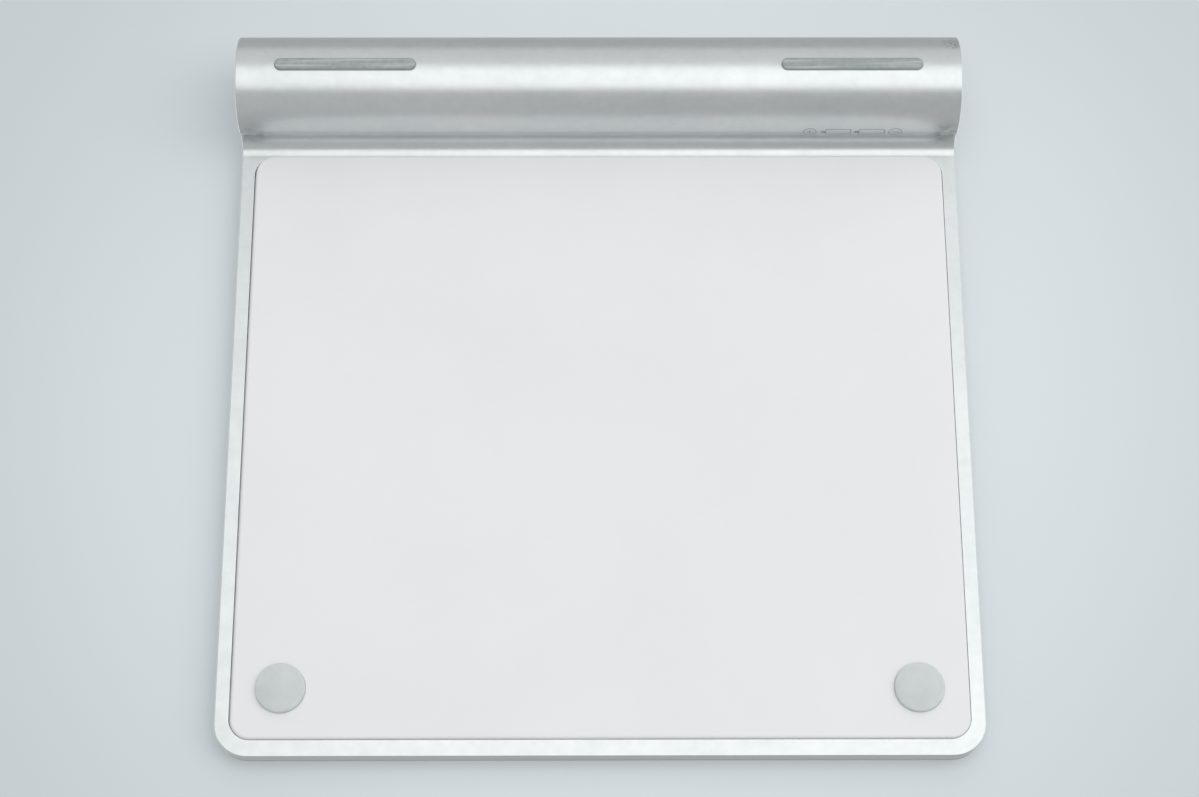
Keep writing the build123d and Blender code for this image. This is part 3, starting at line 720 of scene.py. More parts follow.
# %% Finishes of the inner pieces
finishes = {
    "adhesive_film": plain_finish("grey_adhesive", (0.14, 0.14, 0.15), (0.18, 0.18, 0.19), 300.0, 5000.0,
                                  (0.55, 0.7), 0.2),
    "board_laminate": plain_finish("green_laminate", (0.02, 0.10, 0.05), (0.03, 0.14, 0.07), 500.0, 9000.0,
                                   (0.3, 0.42), 0.3, Coat_Weight=0.4),
    "chip_epoxy": plain_finish("black_epoxy", (0.03, 0.03, 0.033), (0.05, 0.05, 0.053), 400.0, 8000.0,
                               (0.5, 0.65), 0.4),
    "liner_film": plain_finish("black_liner", (0.05, 0.05, 0.055), (0.075, 0.075, 0.08), 200.0, 4000.0,
                               (0.35, 0.5), 0.2),
    "cell_jacket": plain_finish("cell_jacket", (0.45, 0.46, 0.47), (0.53, 0.54, 0.55), 120.0, 6000.0,
                                (0.25, 0.35), 0.1, Metallic=0.9),
    "contact_metal": plain_finish("plated_contact", (0.72, 0.68, 0.56), (0.80, 0.76, 0.64), 700.0, 7000.0,
                                  (0.2, 0.32), 0.2, Metallic=1.0),
    "moulded_black": plain_finish("moulded_black", (0.035, 0.035, 0.038), (0.055, 0.055, 0.058), 300.0,
                                  4500.0, (0.42, 0.55), 0.3),
    "spring_steel": plain_finish("rolled_steel", (0.50, 0.50, 0.51), (0.60, 0.60, 0.61), 500.0, 6500.0,
                                 (0.25, 0.38), 0.25, Metallic=1.0),
    "flex_film": plain_finish("amber_film", (0.38, 0.17, 0.03), (0.46, 0.22, 0.045), 600.0, 5000.0,
                              (0.25, 0.35), 0.15, Coat_Weight=0.5),
    "clear_pipe": plain_finish("clear_light_pipe", (0.80, 0.83, 0.84), (0.86, 0.88, 0.89), 900.0, 5000.0,
                               (0.1, 0.2), 0.1, Transmission_Weight=0.6),
    "satin_aluminium": aluminium,
    "cover_white": cover_plastic,
    "foot_rubber": foot_rubber,
    "strip_rubber": strip_rubber,
    "glass_white": touch_glass,
}


def dress_cad_nodes():
    """Every CAD node gets the finish of its material slot in the record."""
    for part in frame["record"]["subparts"]:
        node = frame["nodes"][part["node"]]
        node.data.materials.clear()
        node.data.materials.append(finishes[part["material_slot"]])


dress_cad_nodes()

# %% [markdown]
# ## Sizes of the body
# Numbers could be copied from the part's source, but a copy can fall behind. So the body's levels and widths
# are read from the pieces that fill it: the cover lies in the pocket, the liner in the bore, the cap in the
# counterbore. Only what no neighbour shows is typed: the cove's radius, the round corners and the clearances.

# %% Read the body's sizes from its neighbours
cover_low, cover_high = span("bottom_cover")
glass_low, glass_high = span("glass_top")
cap_low, cap_high = span("battery_cap")
liner_low, liner_high = span("battery_liner")
strip_low, strip_high = span("right_rear_strip")
board_low, board_high = span("sensor_board")
end_cap_low, end_cap_high = span("right_end_cap")
pipe_low, pipe_high = span("status_light_pipe")

cover_gap = 0.18 * mm
cover_proud = 0.1 * mm
cover_corner = 3.5 * mm
front_corner = 5.7 * mm
cove_radius = 2.75 * mm
edge_round = 0.16 * mm
cap_play = 0.06 * mm
liner_play = 0.05 * mm
glass_gap = 0.1 * mm
board_gap = 0.3 * mm
window_corner = 2.5 * mm
slot_gap = 0.18 * mm
strip_play = 0.03 * mm
strip_inward = 0.25 * mm
pipe_play = 0.1 * mm

half_width = glass_high[0]
tube_y, tube_z = to_plate(np.array(joint_named["cap_turn"]["pos_m"]))[1:]
tube_radius = -tube_z
rim_z = cover_low[2] + cover_proud
seat_z = span("glass_adhesive")[0][2]
ledge_z = span("cover_adhesive")[1][2]
counterbore_radius = (cap_high[1] - cap_low[1]) / 2 + cap_play
bore_radius = (liner_high[1] - liner_low[1]) / 2 + liner_play
step_y = glass_high[1] + glass_gap
cove_reach = math.sqrt((tube_radius + cove_radius) ** 2 - (tube_z - rim_z + cove_radius) ** 2)
cove_y = tube_y - cove_reach
print("tube radius", round(tube_radius / mm, 3), "cove begins at", round(cove_y / mm, 3),
      "rim", round(rim_z / mm, 3))

# %% [markdown]
# ## The section of tube and cove
# Seen from the side, the body's outside is a chain of arcs: the cove turns up from the rim, runs into the
# tube's circle, goes three quarters round it to the top, and ends in a flat land and a step for the glass.
# A hand-drawn curve could come close, but each arc here starts in the direction in which the last one ends,
# so the surface has no crease. The metal's colour is painted brighter in the hollow under the tube: painted
# light that lifts the shade there.

# %% Trace the section
cove_steps = 20
tube_steps = 150
land_steps = 8
step_steps = 2


def section_arc(centre, radius, start, end, steps, outward=1):
    """Points on an arc with its outward directions, which point to the centre in a hollow."""
    angles = arc_angles(start, end, steps)
    round_part = np.stack((np.cos(angles), np.sin(angles)), axis=1)
    return np.array(centre) + radius * round_part, round_part * outward


def section_line(start, end, normal, steps):
    """Evenly spaced points on a straight stretch."""
    shares = np.linspace(0, 1, steps + 1)[:, None]
    points = np.array(start) * (1 - shares) + np.array(end) * shares
    return points, np.broadcast_to(np.array(normal, float), points.shape)


cove_z = rim_z - cove_radius
meeting_degrees = math.degrees(math.atan2(tube_z - cove_z, tube_y - cove_y))


def trace_section():
    """Cove, tube, land, rounded corner and step, as rows of (y, z) with outward directions."""
    stretches = [
        section_arc((cove_y, cove_z), cove_radius, 90, meeting_degrees, cove_steps, outward=-1),
        section_arc((tube_y, tube_z), tube_radius, 180 + meeting_degrees, 450, tube_steps),
        section_line((tube_y, 0), (step_y + edge_round, 0), (0, 1), land_steps),
        section_arc((step_y + edge_round, -edge_round), edge_round, 90, 180, edge_steps),
        section_line((step_y, -edge_round), (step_y, seat_z), (-1, 0), step_steps),
    ]
    points = np.concatenate([stretches[0][0]] + [part[0][1:] for part in stretches[1:]])
    normals = np.concatenate([stretches[0][1]] + [part[1][1:] for part in stretches[1:]])
    return points, normals


def run_along(points):
    """How far each point lies along its row: the lengths of the steps, added up."""
    return np.concatenate(([0.0], np.cumsum(np.linalg.norm(np.diff(points, axis=0), axis=1))))


section_points, section_normals = trace_section()
section_length = run_along(section_points)
# A bell-shaped mark just past the cove's end, for the painted light that brightens the hollow under the tube.
crease_light_shift = 0.3 * mm
crease_light_middle = section_length[cove_steps] + crease_light_shift
crease_light_reach = 0.7 * mm
crease_light_mask = np.exp(-((section_length - crease_light_middle) / crease_light_reach) ** 2 / 2)
print("section points", len(section_points), "length", round(section_length[-1] / mm, 2), "mm")

# %% [markdown]
# ## The skin of the tube, with its openings
# The section is carried along the width in a grid of x against length along the section. The two strip
# slots and the light pipe's hole have to be left out of that grid. A boolean could cut them, but it leaves
# long slivers that show in a metal's reflections. Instead the grid stops at a window round each opening,
# and a Delaunay triangulation in the flat (x, length) plane fills the window up to the opening's outline.

# %% Places on the skin
skin_columns = 105
skin_x = np.linspace(edge_round - half_width, half_width - edge_round, skin_columns)


def read_between(places, run, table):
    """A table's two columns at the given places, each read between the two nearest rows of the run."""
    return np.column_stack([np.interp(places, run, table[:, column]) for column in (0, 1)])


def on_skin(flat):
    """Where the flat places (x, length along the section) lie on the skin, with the outward directions."""
    places = read_between(flat[:, 1], section_length, section_points)
    facing = read_between(flat[:, 1], section_length, section_normals)
    return np.column_stack((flat[:, 0], places)), np.column_stack((np.zeros(len(flat)), facing))


def flat_outline(outline, upper):
    """A closed plan outline as flat places, on the tube's lower or upper side. The tube's circle reaches y at
    270 degrees plus arcsin((y - tube y) / radius) below, and at 450 degrees minus it above."""
    y = outline[0][:-1, 1] - tube_y
    lean = np.degrees(np.arcsin(np.maximum(y, 0 if upper else -tube_radius) / tube_radius))
    circle_degrees = np.linspace(180 + meeting_degrees, 450, tube_steps + 1)
    circle_length = section_length[cove_steps:cove_steps + tube_steps + 1]
    length = np.interp(450 - lean if upper else 270 + lean, circle_degrees, circle_length)
    length += np.maximum(-y, 0) if upper else 0
    return np.column_stack((outline[0][:-1, 0], length))


print("skin grid", len(section_points), "by", len(skin_x))


# %% Fill the windows round the openings
spare_steps = 2
clear_of_outline = 0.12 * mm
merge_distance_mm = 1e-6


def ring_edges(count, first):
    """Pairs that join count points, numbered from first, into a ring."""
    numbers = np.arange(count)
    return np.stack((numbers, (numbers + 1) % count), axis=1) + first


def window_spans(flat):
    """Rows and columns of the grid that hold an outline with some steps to spare."""
    spans = []
    for lines, values in ((section_length, flat[:, 1]), (skin_x, flat[:, 0])):
        first = max(np.searchsorted(lines, values.min()) - 1 - spare_steps, 0)
        last = min(np.searchsorted(lines, values.max()) + spare_steps, len(lines) - 1)
        spans.append(slice(int(first), int(last) + 1))
    return spans


def window_patch(flat, stadium, rows, columns):
    """Triangles between a window's border and an outline. Those inside the opening, nearer to the stadium's
    middle line than half its width, are left out."""
    x, y, length, width = stadium
    grid = np.stack(np.meshgrid(skin_x[columns], section_length[rows]), axis=-1)
    border = np.concatenate((grid[0], grid[1:, -1], grid[-1, -2::-1], grid[-2:0:-1, 0]))

    def depth_inside(places):
        """Half the stadium's width less the distance from its middle line, for flat places."""
        plan = on_skin(places)[0]
        beyond = np.maximum(np.abs(plan[:, 0] - x) - (length - width) / 2, 0)
        return width / 2 - np.hypot(beyond, plan[:, 1] - y)

    middle = grid[1:-1, 1:-1].reshape(-1, 2)
    middle = middle[depth_inside(middle) < -clear_of_outline]
    places = np.concatenate((border, flat, middle))
    edges = np.concatenate((ring_edges(len(border), 0), ring_edges(len(flat), len(border)))).tolist()
    corners = [Vector(place) for place in places / mm]
    _, _, triangles, sources, _, _ = delaunay_2d_cdt(corners, edges, [], 1, merge_distance_mm)
    source = np.array([found[0] for found in sources])
    triangles = source[np.array(triangles, int)]
    triangles = triangles[depth_inside(places[triangles].mean(axis=1)) < 0]
    points, normals = on_skin(places)
    faces = np.concatenate((triangles, triangles[:, 2:]), axis=1)
    return points, normals, faces, np.zeros(len(points))


def opening_wall(flat, plan, floor):
    """The wall of an opening: its outline on the skin, and the same outline at the floor's height."""
    skin = closed(on_skin(flat)[0])
    facing = -raised(plan[1], 0)
    return grid_patch(np.stack((skin, raised(plan[0], floor))), np.stack((facing, facing)))


def skin_patches(openings):
    """The skin as one grid with windows left out, the filled windows, and each opening's wall and floor."""
    kept = np.ones((len(section_length) - 1, len(skin_x) - 1), bool)
    patches = []
    for stadium, upper, floor, has_floor in openings:
        plan = stadium_outline(*stadium)
        flat = flat_outline(plan, upper)
        rows, columns = window_spans(flat)
        kept[rows.start:rows.stop - 1, columns.start:columns.stop - 1] = False
        patches += [window_patch(flat, stadium, rows, columns), opening_wall(flat, plan, floor)]
        if has_floor:
            patches.append(flat_patch([loop_at(plan, floor)], (0, 0, -1)))
    flat = np.stack(np.meshgrid(skin_x, section_length), axis=-1).reshape(-1, 2)
    points, normals = on_skin(flat)
    faces = grid_faces(len(section_length), len(skin_x))[kept.ravel()]
    # The skin's mark is below 0 in the hollow, for painted light.
    patches.append((points, normals, faces, -np.repeat(crease_light_mask, len(skin_x))))
    return patches


strip_x = (strip_low[0] + strip_high[0]) / 2 - strip_inward
slot_length = strip_high[0] - strip_low[0] + slot_gap * 2
slot_width = strip_high[1] - strip_low[1] + slot_gap * 2
pipe_x = (pipe_low[0] + pipe_high[0]) / 2
pipe_width = pipe_high[0] - pipe_low[0] + pipe_play
pipe_floor = tube_z + bore_radius
openings = [((strip_x, tube_y, slot_length, slot_width), False, strip_high[2], True),
            ((-strip_x, tube_y, slot_length, slot_width), False, strip_high[2], True),
            ((pipe_x, tube_y, pipe_width, pipe_width), True, pipe_floor, False)]
body_patches = skin_patches(openings)
print("slot", round(slot_length / mm, 2), "by", round(slot_width / mm, 2), "skin patches", len(body_patches))

# %% [markdown]
# ## The ends, the bore and the plate
# At both ends the skin rolls over a small round edge into the flat end face. The end face holds the
# counterbore for the cap or the end disc, with the bore behind it. The CAD's own faces could be kept for
# these, but their edges wouldn't meet the finer skin. So the plate's side wall shares the same rounded lower
# edge, and the two meet point for point. Underneath, the pocket for the cover has a ledge, and a window for
# the sensor board goes right through.

# %% Ends and bore
lip_round = 0.1 * mm


def turned_chain(corners, centre, axis):
    """The walls and flat faces between neighbouring corners, given as (along, radius). Each one's normal is
    its step turned by a quarter, (radius step, -along step), so a wall that runs back looks outwards."""
    patches = []
    for start, end in zip(corners[:-1], corners[1:]):
        step = np.subtract(end, start)
        slope = np.array((step[1], -step[0])) / np.linalg.norm(step)
        patches.append(turned_patch((start[0], end[0]), (start[1], end[1]), slope, centre, axis))
    return patches


def last_ring(patch):
    """The last circle of a turned patch, as a loop."""
    return patch[0].reshape(-1, turn_steps + 1, 3)[-1, :-1]


def end_patches(side, depth):
    """One end of the body: the rolled edge, x = half - e + e sin a with the section drawn in by e - e cos a,
    then the flat face, the counterbore and its shoulder."""
    angles = arc_angles(0, 90, edge_steps)[:, None]
    inset = edge_round * (1 - np.cos(angles))[:, :, None]
    profile = section_points - section_normals * inset
    x = np.broadcast_to(side * (half_width - edge_round + edge_round * np.sin(angles)), profile.shape[:2])
    points = np.concatenate((x[:, :, None], profile), axis=2)
    facing = np.concatenate((np.broadcast_to(side * np.sin(angles)[:, :, None], x.shape + (1,)),
                             section_normals * np.cos(angles)[:, :, None]), axis=2)
    # The rolled edge's mark: wear on the edge, less the painted light of the hollow.
    rolled = grid_patch(points, facing, np.sin(2 * angles) - np.cos(angles) * crease_light_mask)
    centre, axis = (side * half_width, tube_y, tube_z), (side, 0, 0)
    lip = turned_edge(0, counterbore_radius, lip_round, 1, centre, axis, inward=True)
    inside = turned_chain([(-depth, bore_radius), (-depth, counterbore_radius),
                           (-lip_round, counterbore_radius)], centre, axis)
    outer = np.concatenate((points[-1], [(side * half_width, cove_y, seat_z)]))
    face = flat_patch([outer, last_ring(lip)], (side, 0, 0))
    seat_edge = points[:, -1]
    return [rolled, lip, face] + inside, seat_edge


cap_depth = half_width + span("cap_insert")[0][0]
end_depth = end_cap_high[0] - end_cap_low[0]
left_end, left_seat_edge = end_patches(-1, cap_depth)
right_end, right_seat_edge = end_patches(1, end_depth)
bore = turned_chain([(cap_depth - half_width, bore_radius), (half_width - end_depth, bore_radius)],
                    (0, tube_y, tube_z), (1, 0, 0))
body_patches += left_end + right_end + bore
print("cap depth", round(cap_depth / mm, 3), "end disc depth", round(end_depth / mm, 3))


# %% Plate, pocket and window
def plate_outline():
    """The plate's side from the tube's left end round the two front corners to the right end: it is open."""
    points, normals = box_outline((-half_width, 0), (half_width, cove_y), (front_corner,) * 4)
    front = slice(0, 2 * (corner_steps + 1))
    points = np.concatenate(([(-half_width, cove_y)], points[front], [(half_width, cove_y)]))
    return points, np.concatenate(([(-1, 0)], normals[front], [(1, 0)]))


def plate_patches():
    """Side wall, rounded lower edge, rim face, pocket wall, ledge, window wall and seat."""
    side = plate_outline()
    pocket = box_outline(cover_low[:2] - cover_gap, cover_high[:2] + cover_gap,
                         (cover_corner + cover_gap,) * 4)
    window = box_outline(board_low[:2] - board_gap, board_high[:2] + board_gap, (window_corner,) * 4)
    cove_start = np.column_stack((skin_x, np.full(len(skin_x), cove_y)))[-2:0:-1]
    step = np.column_stack((skin_x, np.full(len(skin_x), step_y)))[-2:0:-1]
    rim_loop = raised(np.concatenate((drawn_in(side, edge_round)[0], cove_start)), rim_z)
    seat_loop = np.concatenate((raised(side[0], seat_z), right_seat_edge[::-1],
                                raised(step, seat_z), left_seat_edge))
    return [
        wall_patch(side, rim_z + edge_round, seat_z),
        edge_patch(side, rim_z, edge_round, -1),
        flat_patch([rim_loop, loop_at(pocket, rim_z)], (0, 0, -1)),
        wall_patch(pocket, rim_z, ledge_z, inward=True),
        flat_patch([loop_at(pocket, ledge_z), loop_at(window, ledge_z)], (0, 0, -1)),
        wall_patch(window, ledge_z, seat_z, inward=True),
        flat_patch([seat_loop, loop_at(window, seat_z)], (0, 0, 1)),
    ]


add_piece("dressed_body", body_patches + plate_patches(), "base", "satin_aluminium", aluminium, "housing")

# %% [markdown]
# ## Battery signs
# Fine etched signs by the tube's cap end show which way round the cells go: a ringed plus, two cells in a
# row with their nubs, and a ringed minus. A picture texture would blur at this size, so each line is a very
# thin raised ring. It's drawn flat, as x against length along the section, and then laid on the skin.
# Their row lies on the tube's front flank, 9 mm below the glass's face.

# %% Lay fine lines on the skin
sign_height = 0.012 * mm
sign_line = 0.17 * mm
sign_level = -9.0 * mm
section_tangents = np.gradient(section_points, section_length, axis=0)
flank = slice(0, cove_steps + tube_steps // 3)
sign_row = np.interp(-sign_level, -section_points[flank, 1], section_length[flank])


def evenly_dotted(outline, step):
    """A closed outline with points about every step along it, read between its own points."""
    run = run_along(outline[0])
    places = np.linspace(0, run[-1], int(run[-1] / step) + 1)
    return tuple(read_between(places, run, part) for part in outline)


def ring_on_skin(outline, width):
    """A raised ring: the outline and the outline drawn in by the width, each at two heights, joined by an
    outer wall, a top, an inner wall and an underside."""
    flats = (outline[0], drawn_in(outline, width)[0])
    (outer, up), (inner, _) = (on_skin(flat) for flat in flats)
    tangent = read_between(outline[0][:, 1], section_length, section_tangents)
    side = np.column_stack((outline[1][:, 0], outline[1][:, 1:] * tangent))
    lift = up * sign_height
    corners = ((outer - lift, outer + lift, side), (outer + lift, inner + lift, up),
               (inner + lift, inner - lift, -side), (inner - lift, outer - lift, -up))
    return [grid_patch(np.stack(pair), np.stack((facing, facing))) for *pair, facing in corners]


print("signs lie", round(sign_row / mm, 2), "mm along the section")


# %% Draw the signs
plus_x = -38.2 * mm
minus_x = -53.7 * mm
ring_radius = 1.25 * mm
bar_length = 1.3 * mm
closing_share = 0.49
cell_ends = ((-40.3 * mm, -45.7 * mm), (-46.3 * mm, -51.8 * mm))
cell_half_width = 1.05 * mm
cell_corner = 0.35 * mm
nub_reach = 0.7 * mm
nub_size = (0.9 * mm, 0.89 * mm)
dot_step = 0.15 * mm


def bar_sign(x, length, width, upright=False):
    """A filled bar: a ring so wide that it closes."""
    points, normals = stadium_outline(0, 0, length, width)
    if upright:
        points, normals = points[:, ::-1], normals[:, ::-1]
    return ring_on_skin((points + (x, sign_row), normals), width * closing_share)


def cell_sign(x_nub, x_end):
    """One cell: a filled nub and a long rounded box."""
    low = (x_end, sign_row - cell_half_width)
    high = (x_nub - nub_reach, sign_row + cell_half_width)
    box = evenly_dotted(box_outline(low, high, (cell_corner,) * 4), dot_step)
    return ring_on_skin(box, sign_line) + bar_sign(x_nub - nub_reach / 2, *nub_size)


def sign_patches():
    """Ringed plus, two cells and ringed minus, in a row from the middle of the tube towards the cap."""
    patches = bar_sign(plus_x, bar_length, sign_line, upright=True)
    for x in (plus_x, minus_x):
        patches += bar_sign(x, bar_length, sign_line)
        patches += ring_on_skin(circle_outline(x, sign_row, ring_radius), sign_line)
    for ends in cell_ends:
        patches += cell_sign(*ends)
    return patches


etched_line = plain_finish("etched_line", (0.33, 0.34, 0.34), (0.42, 0.43, 0.43), 900.0, 6000.0,
                           (0.5, 0.6), 0.3, Metallic=1.0)
add_piece("battery_signs", sign_patches(), "base", "satin_aluminium", etched_line)

# %% [markdown]
# ## Glass and cover
# The glass is a thin sheet to the very edges of the plate, with ground edges. The cover is a white panel
# that stands a tenth of a millimetre proud of the rim, with a hole for each foot. Its edge is soft along the
# front and the sides and nearly sharp at the back, where it meets the cove without a visible line. A Bevel
# modifier rounds all edges alike, so both slabs are built from their outlines, with a radius for each point.

# %% Glass and cover
foot_shift = np.array((0.0, 0.4)) * mm
foot_play = 0.02 * mm
foot_hole_lip = 0.05 * mm
glass_back_corner = 0.4 * mm
glass_rounds = (0.06 * mm, 0.2 * mm)
front_overlap = np.array((0.14, 0.09)) * mm
rear_overlap = np.array((0.10, 0.17)) * mm
cover_rounds = (0.7 * mm, 0.1 * mm)
cover_hidden_round = 0.04 * mm
round_falls = np.array((3.0, 0.4)) * mm
cap_side_shares = (0.5, 1.0)
cap_side_reach = 3.0 * mm


def foot_place(name):
    """The plan centre and the side radius of a foot. In the photograph the feet lie a little behind the
    CAD's."""
    low, high = span(name)
    return (low[:2] + high[:2]) / 2 + foot_shift, (high[0] - low[0]) / 2


foot_holes = []
for foot in ("left_foot_pad", "right_foot_pad"):
    centre, radius = foot_place(foot)
    foot_holes.append((circle_outline(*centre, radius + foot_play), foot_hole_lip))
glass_outline = box_outline(glass_low[:2], glass_high[:2], (front_corner,) * 2 + (glass_back_corner,) * 2)
glass_patches = soft_slab(glass_outline, glass_low[2], glass_high[2], *glass_rounds)
# The glass's side wall is fully marked for painted shade.
glass_patches[0] = (*glass_patches[0][:3], np.ones(len(glass_patches[0][0])))
add_piece("ground_glass", glass_patches, "base", "glass_white", touch_glass, "glass_top")

cover_outline = box_outline(cover_low[:2] - front_overlap, cover_high[:2] + rear_overlap,
                            (cover_corner,) * 4)
cover_round = np.interp(cover_outline[0][:, 1], cover_high[1] - round_falls, cover_rounds)
cover_round *= np.interp(cover_outline[0][:, 0], (cover_low[0], cover_low[0] + cap_side_reach),
                         cap_side_shares)
cover_patches = soft_slab(cover_outline, cover_low[2], cover_high[2], cover_round, cover_hidden_round,
                          foot_holes)
add_piece("soft_edged_cover", cover_patches, "base", "cover_white", cover_plastic, "bottom_cover")

# %% [markdown]
# ## Feet and strips
# Each foot is moulded rubber: a short round side, a small fillet, and a shallow dome of one sphere. A
# flattened ball would look puffed up, so the profile is worked out: the fillet's centre is placed where it
# touches both side and dome without a crease. Each strip is a bar with round ends. Its face lies in the
# desk's plane, which leans against the plate. A knife cut there would break the soft edge, so it's sheared.

# %% Domed feet
foot_fillet = 0.32 * mm
foot_rise = 0.6 * mm
fillet_steps = 8
dome_steps = 24


def foot_patches(name):
    """A turned foot. The dome's sphere has radius R = (r^2 + h^2) / 2h, from the foot's radius r and its rise
    h. The fillet's centre stands at r - f from the axis and at R - f from the sphere's centre."""
    low, high = span(name)
    centre, radius = foot_place(name)
    sphere = (radius ** 2 + foot_rise ** 2) / (2 * foot_rise)
    sphere_z = low[2] + sphere
    reach = radius - foot_fillet
    fillet_z = sphere_z - math.sqrt((sphere - foot_fillet) ** 2 - reach ** 2)
    tip = math.degrees(math.asin(reach / (sphere - foot_fillet)))
    bend = arc_angles(0, 90 - tip, fillet_steps)
    dome = arc_angles(tip, 0, dome_steps)
    place, axis = (*centre, 0), (0, 0, 1)
    return turned_chain([(high[2], 0), (high[2], radius), (fillet_z, radius)], place, axis) + [
        turned_patch(fillet_z - foot_fillet * np.sin(bend), reach + foot_fillet * np.cos(bend),
                     np.stack((-np.sin(bend), np.cos(bend)), axis=1), place, axis),
        turned_patch(sphere_z - sphere * np.cos(dome), sphere * np.sin(dome),
                     np.stack((-np.cos(dome), np.sin(dome)), axis=1), place, axis),
    ]


for side in ("left", "right"):
    pad = side + "_foot_pad"
    add_piece(side + "_domed_foot", foot_patches(pad), side + "_foot", "foot_rubber", foot_rubber, pad)


# %% Strips cut in the desk's plane
strip_rounds = (0.35 * mm, 0.02 * mm)
level_height = 0.1 * mm
nearly_down = -0.99


def leaning(patch, below, slope, face_normal):
    """The patch with its points under a height sheared: z grows by slope times y - tube y. A normal that
    looked straight down becomes the leaning face's."""
    points, normals, faces, wear_and_painted_light = patch
    points, normals = points.copy(), normals.copy()
    lower = points[:, 2] < below
    points[lower, 2] += slope * (points[lower, 1] - tube_y)
    normals[normals[:, 2] < nearly_down] = face_normal
    return points, normals, faces, wear_and_painted_light


def strip_patches(x):
    """A bar with round ends between its slot's floor and the desk, with a soft lower edge."""
    desk_normal = plate_axes @ np.array((0.0, 0.0, -1.0))
    slope = -desk_normal[1] / desk_normal[2]
    desk_z = -to_world(np.array((0.0, tube_y, 0.0)))[2] / plate_up[2]
    outline = stadium_outline(x, tube_y, slot_length - strip_play * 2, slot_width - strip_play * 2)
    patches = soft_slab(outline, desk_z, strip_high[2], *strip_rounds)
    return [leaning(patch, strip_high[2] - level_height, slope, desk_normal) for patch in patches]


for side, x in (("left", -strip_x), ("right", strip_x)):
    add_piece(side + "_desk_strip", strip_patches(x), "base", "strip_rubber", strip_rubber,
              side + "_rear_strip")

# %% [markdown]
# ## Cap, end disc and button
# The cap is turned from aluminium, with a slot for a coin milled across its head and a rolled thread on
# its skirt. A Screw modifier could wind the thread, but both its ends would be blunt. Here the groove is a
# height field on the skirt: the radius falls where the angle plus the place along the axis reach the same
# phase, and it fades out at both ends. The tube's other end has a plain disc with the power button in it.
# The button's face is slightly dished, because a flat one would reflect as one blank spot.

# %% Battery cap
cap_rim = 0.2 * mm
cap_lead = 1.25 * mm
coin_width = 1.7 * mm
coin_share = 0.72
coin_depth = 0.72 * mm
head_radius = counterbore_radius - cap_play
skirt_radius = bore_radius - cap_play
skirt_wall = 1.05 * mm
skirt_inner = skirt_radius - skirt_wall
skirt_end = cap_high[0] + half_width
thread_depth = 0.32 * mm
thread_fade = 0.5 * mm
thread_power = 0.7
thread_rows = 97
# The mark for the coin slot's painted shade.
slot_shade_mark = 2.0


def thread_patch(centre, axis):
    """The skirt's threaded outside: radius = skirt radius - depth * ((1 + cos phase) / 2) ^ power, with
    phase = 2 pi x / lead plus the angle. Its normals come from the surface's two tangents."""
    along = np.linspace(-skirt_end, -cap_depth, thread_rows)
    turn = np.linspace(0, 2 * math.pi, turn_steps + 1)
    along_grid, turn_grid = np.meshgrid(along, turn, indexing="ij")
    fade = np.clip(np.minimum(along_grid + skirt_end, -cap_depth - along_grid) / thread_fade, 0, 1)
    phase = 2 * math.pi * along_grid / cap_lead + turn_grid
    depth = thread_depth * fade * (0.5 + 0.5 * np.cos(phase)) ** thread_power
    radius = skirt_radius - depth
    points = np.stack((along_grid * axis[0], radius * np.cos(turn_grid),
                       axis[0] * radius * np.sin(turn_grid)), axis=2)
    tangent_along = np.gradient(points, axis=0)
    ahead, behind = np.roll(points[:, :-1], -1, axis=1), np.roll(points[:, :-1], 1, axis=1)
    tangent_turn = ahead - behind
    tangent_turn = np.concatenate((tangent_turn, tangent_turn[:, :1]), axis=1)
    normals = np.cross(tangent_along, tangent_turn)
    outward = np.einsum("ijk,ijk->ij", normals[:, :, 1:], points[:, :, 1:]) < 0
    normals = np.where(outward[:, :, None], -normals, normals)
    normals /= np.linalg.norm(normals, axis=2)[:, :, None]
    return grid_patch(points + np.array(centre), normals)


def coin_slot_patches(face_x):
    """The slot's outline on the head's face, its wall and its floor, in the plane across the tube."""
    plan = stadium_outline(0, 0, 2 * coin_share * counterbore_radius, coin_width)

    def stood_up(points):
        """Plan points in the plane of the head's face: x stays at the face, y and z are the plan's own."""
        return np.column_stack((np.full(len(points), face_x), points[:, 0] + tube_y, points[:, 1] + tube_z))

    top, floor = stood_up(plan[0]), stood_up(plan[0])
    floor[:, 0] += coin_depth
    facing = -np.column_stack((np.zeros(len(plan[1])), plan[1]))
    # The slot's wall, towards its floor, and the floor carry the painted-shade mark.
    wall = grid_patch(np.stack((top, floor)), np.stack((facing, facing)), np.array([[0.0], [slot_shade_mark]]))
    points, normals, faces, _ = flat_patch([floor[:-1]], (-1, 0, 0))
    return wall, (points, normals, faces, np.full(len(points), slot_shade_mark)), top[:-1]


def cap_patches():
    """Head with a rounded rim, its back, the threaded skirt and the skirt's inside."""
    centre, axis = (-half_width, tube_y, tube_z), (-1.0, 0.0, 0.0)
    rim = turned_edge(0, head_radius, cap_rim, 1, centre, axis)
    wall, floor, slot_loop = coin_slot_patches(-half_width)
    face = flat_patch([last_ring(rim), slot_loop], (-1, 0, 0))
    head = turned_chain([(-cap_rim, head_radius), (-cap_depth, head_radius), (-cap_depth, skirt_radius)],
                        centre, axis)
    inside = turned_chain([(-skirt_end, skirt_radius), (-skirt_end, skirt_inner), (-cap_depth, skirt_inner),
                           (-cap_depth, 0)], centre, axis)
    return [rim, face, wall, floor] + head + [thread_patch(centre, axis)] + inside


add_piece("turned_cap", cap_patches(), "battery_cap", "satin_aluminium", aluminium, "battery_cap")


# %% End disc and button
disc_hole = 4.1 * mm
disc_edge = 0.1 * mm
button_radius = 4.0 * mm
button_edge = 0.25 * mm
button_stem_radius = 0.9 * mm
button_body_end = -2.0 * mm
button_flange_end = -2.65 * mm
dish_depth = 0.12 * mm
dish_rows = 13


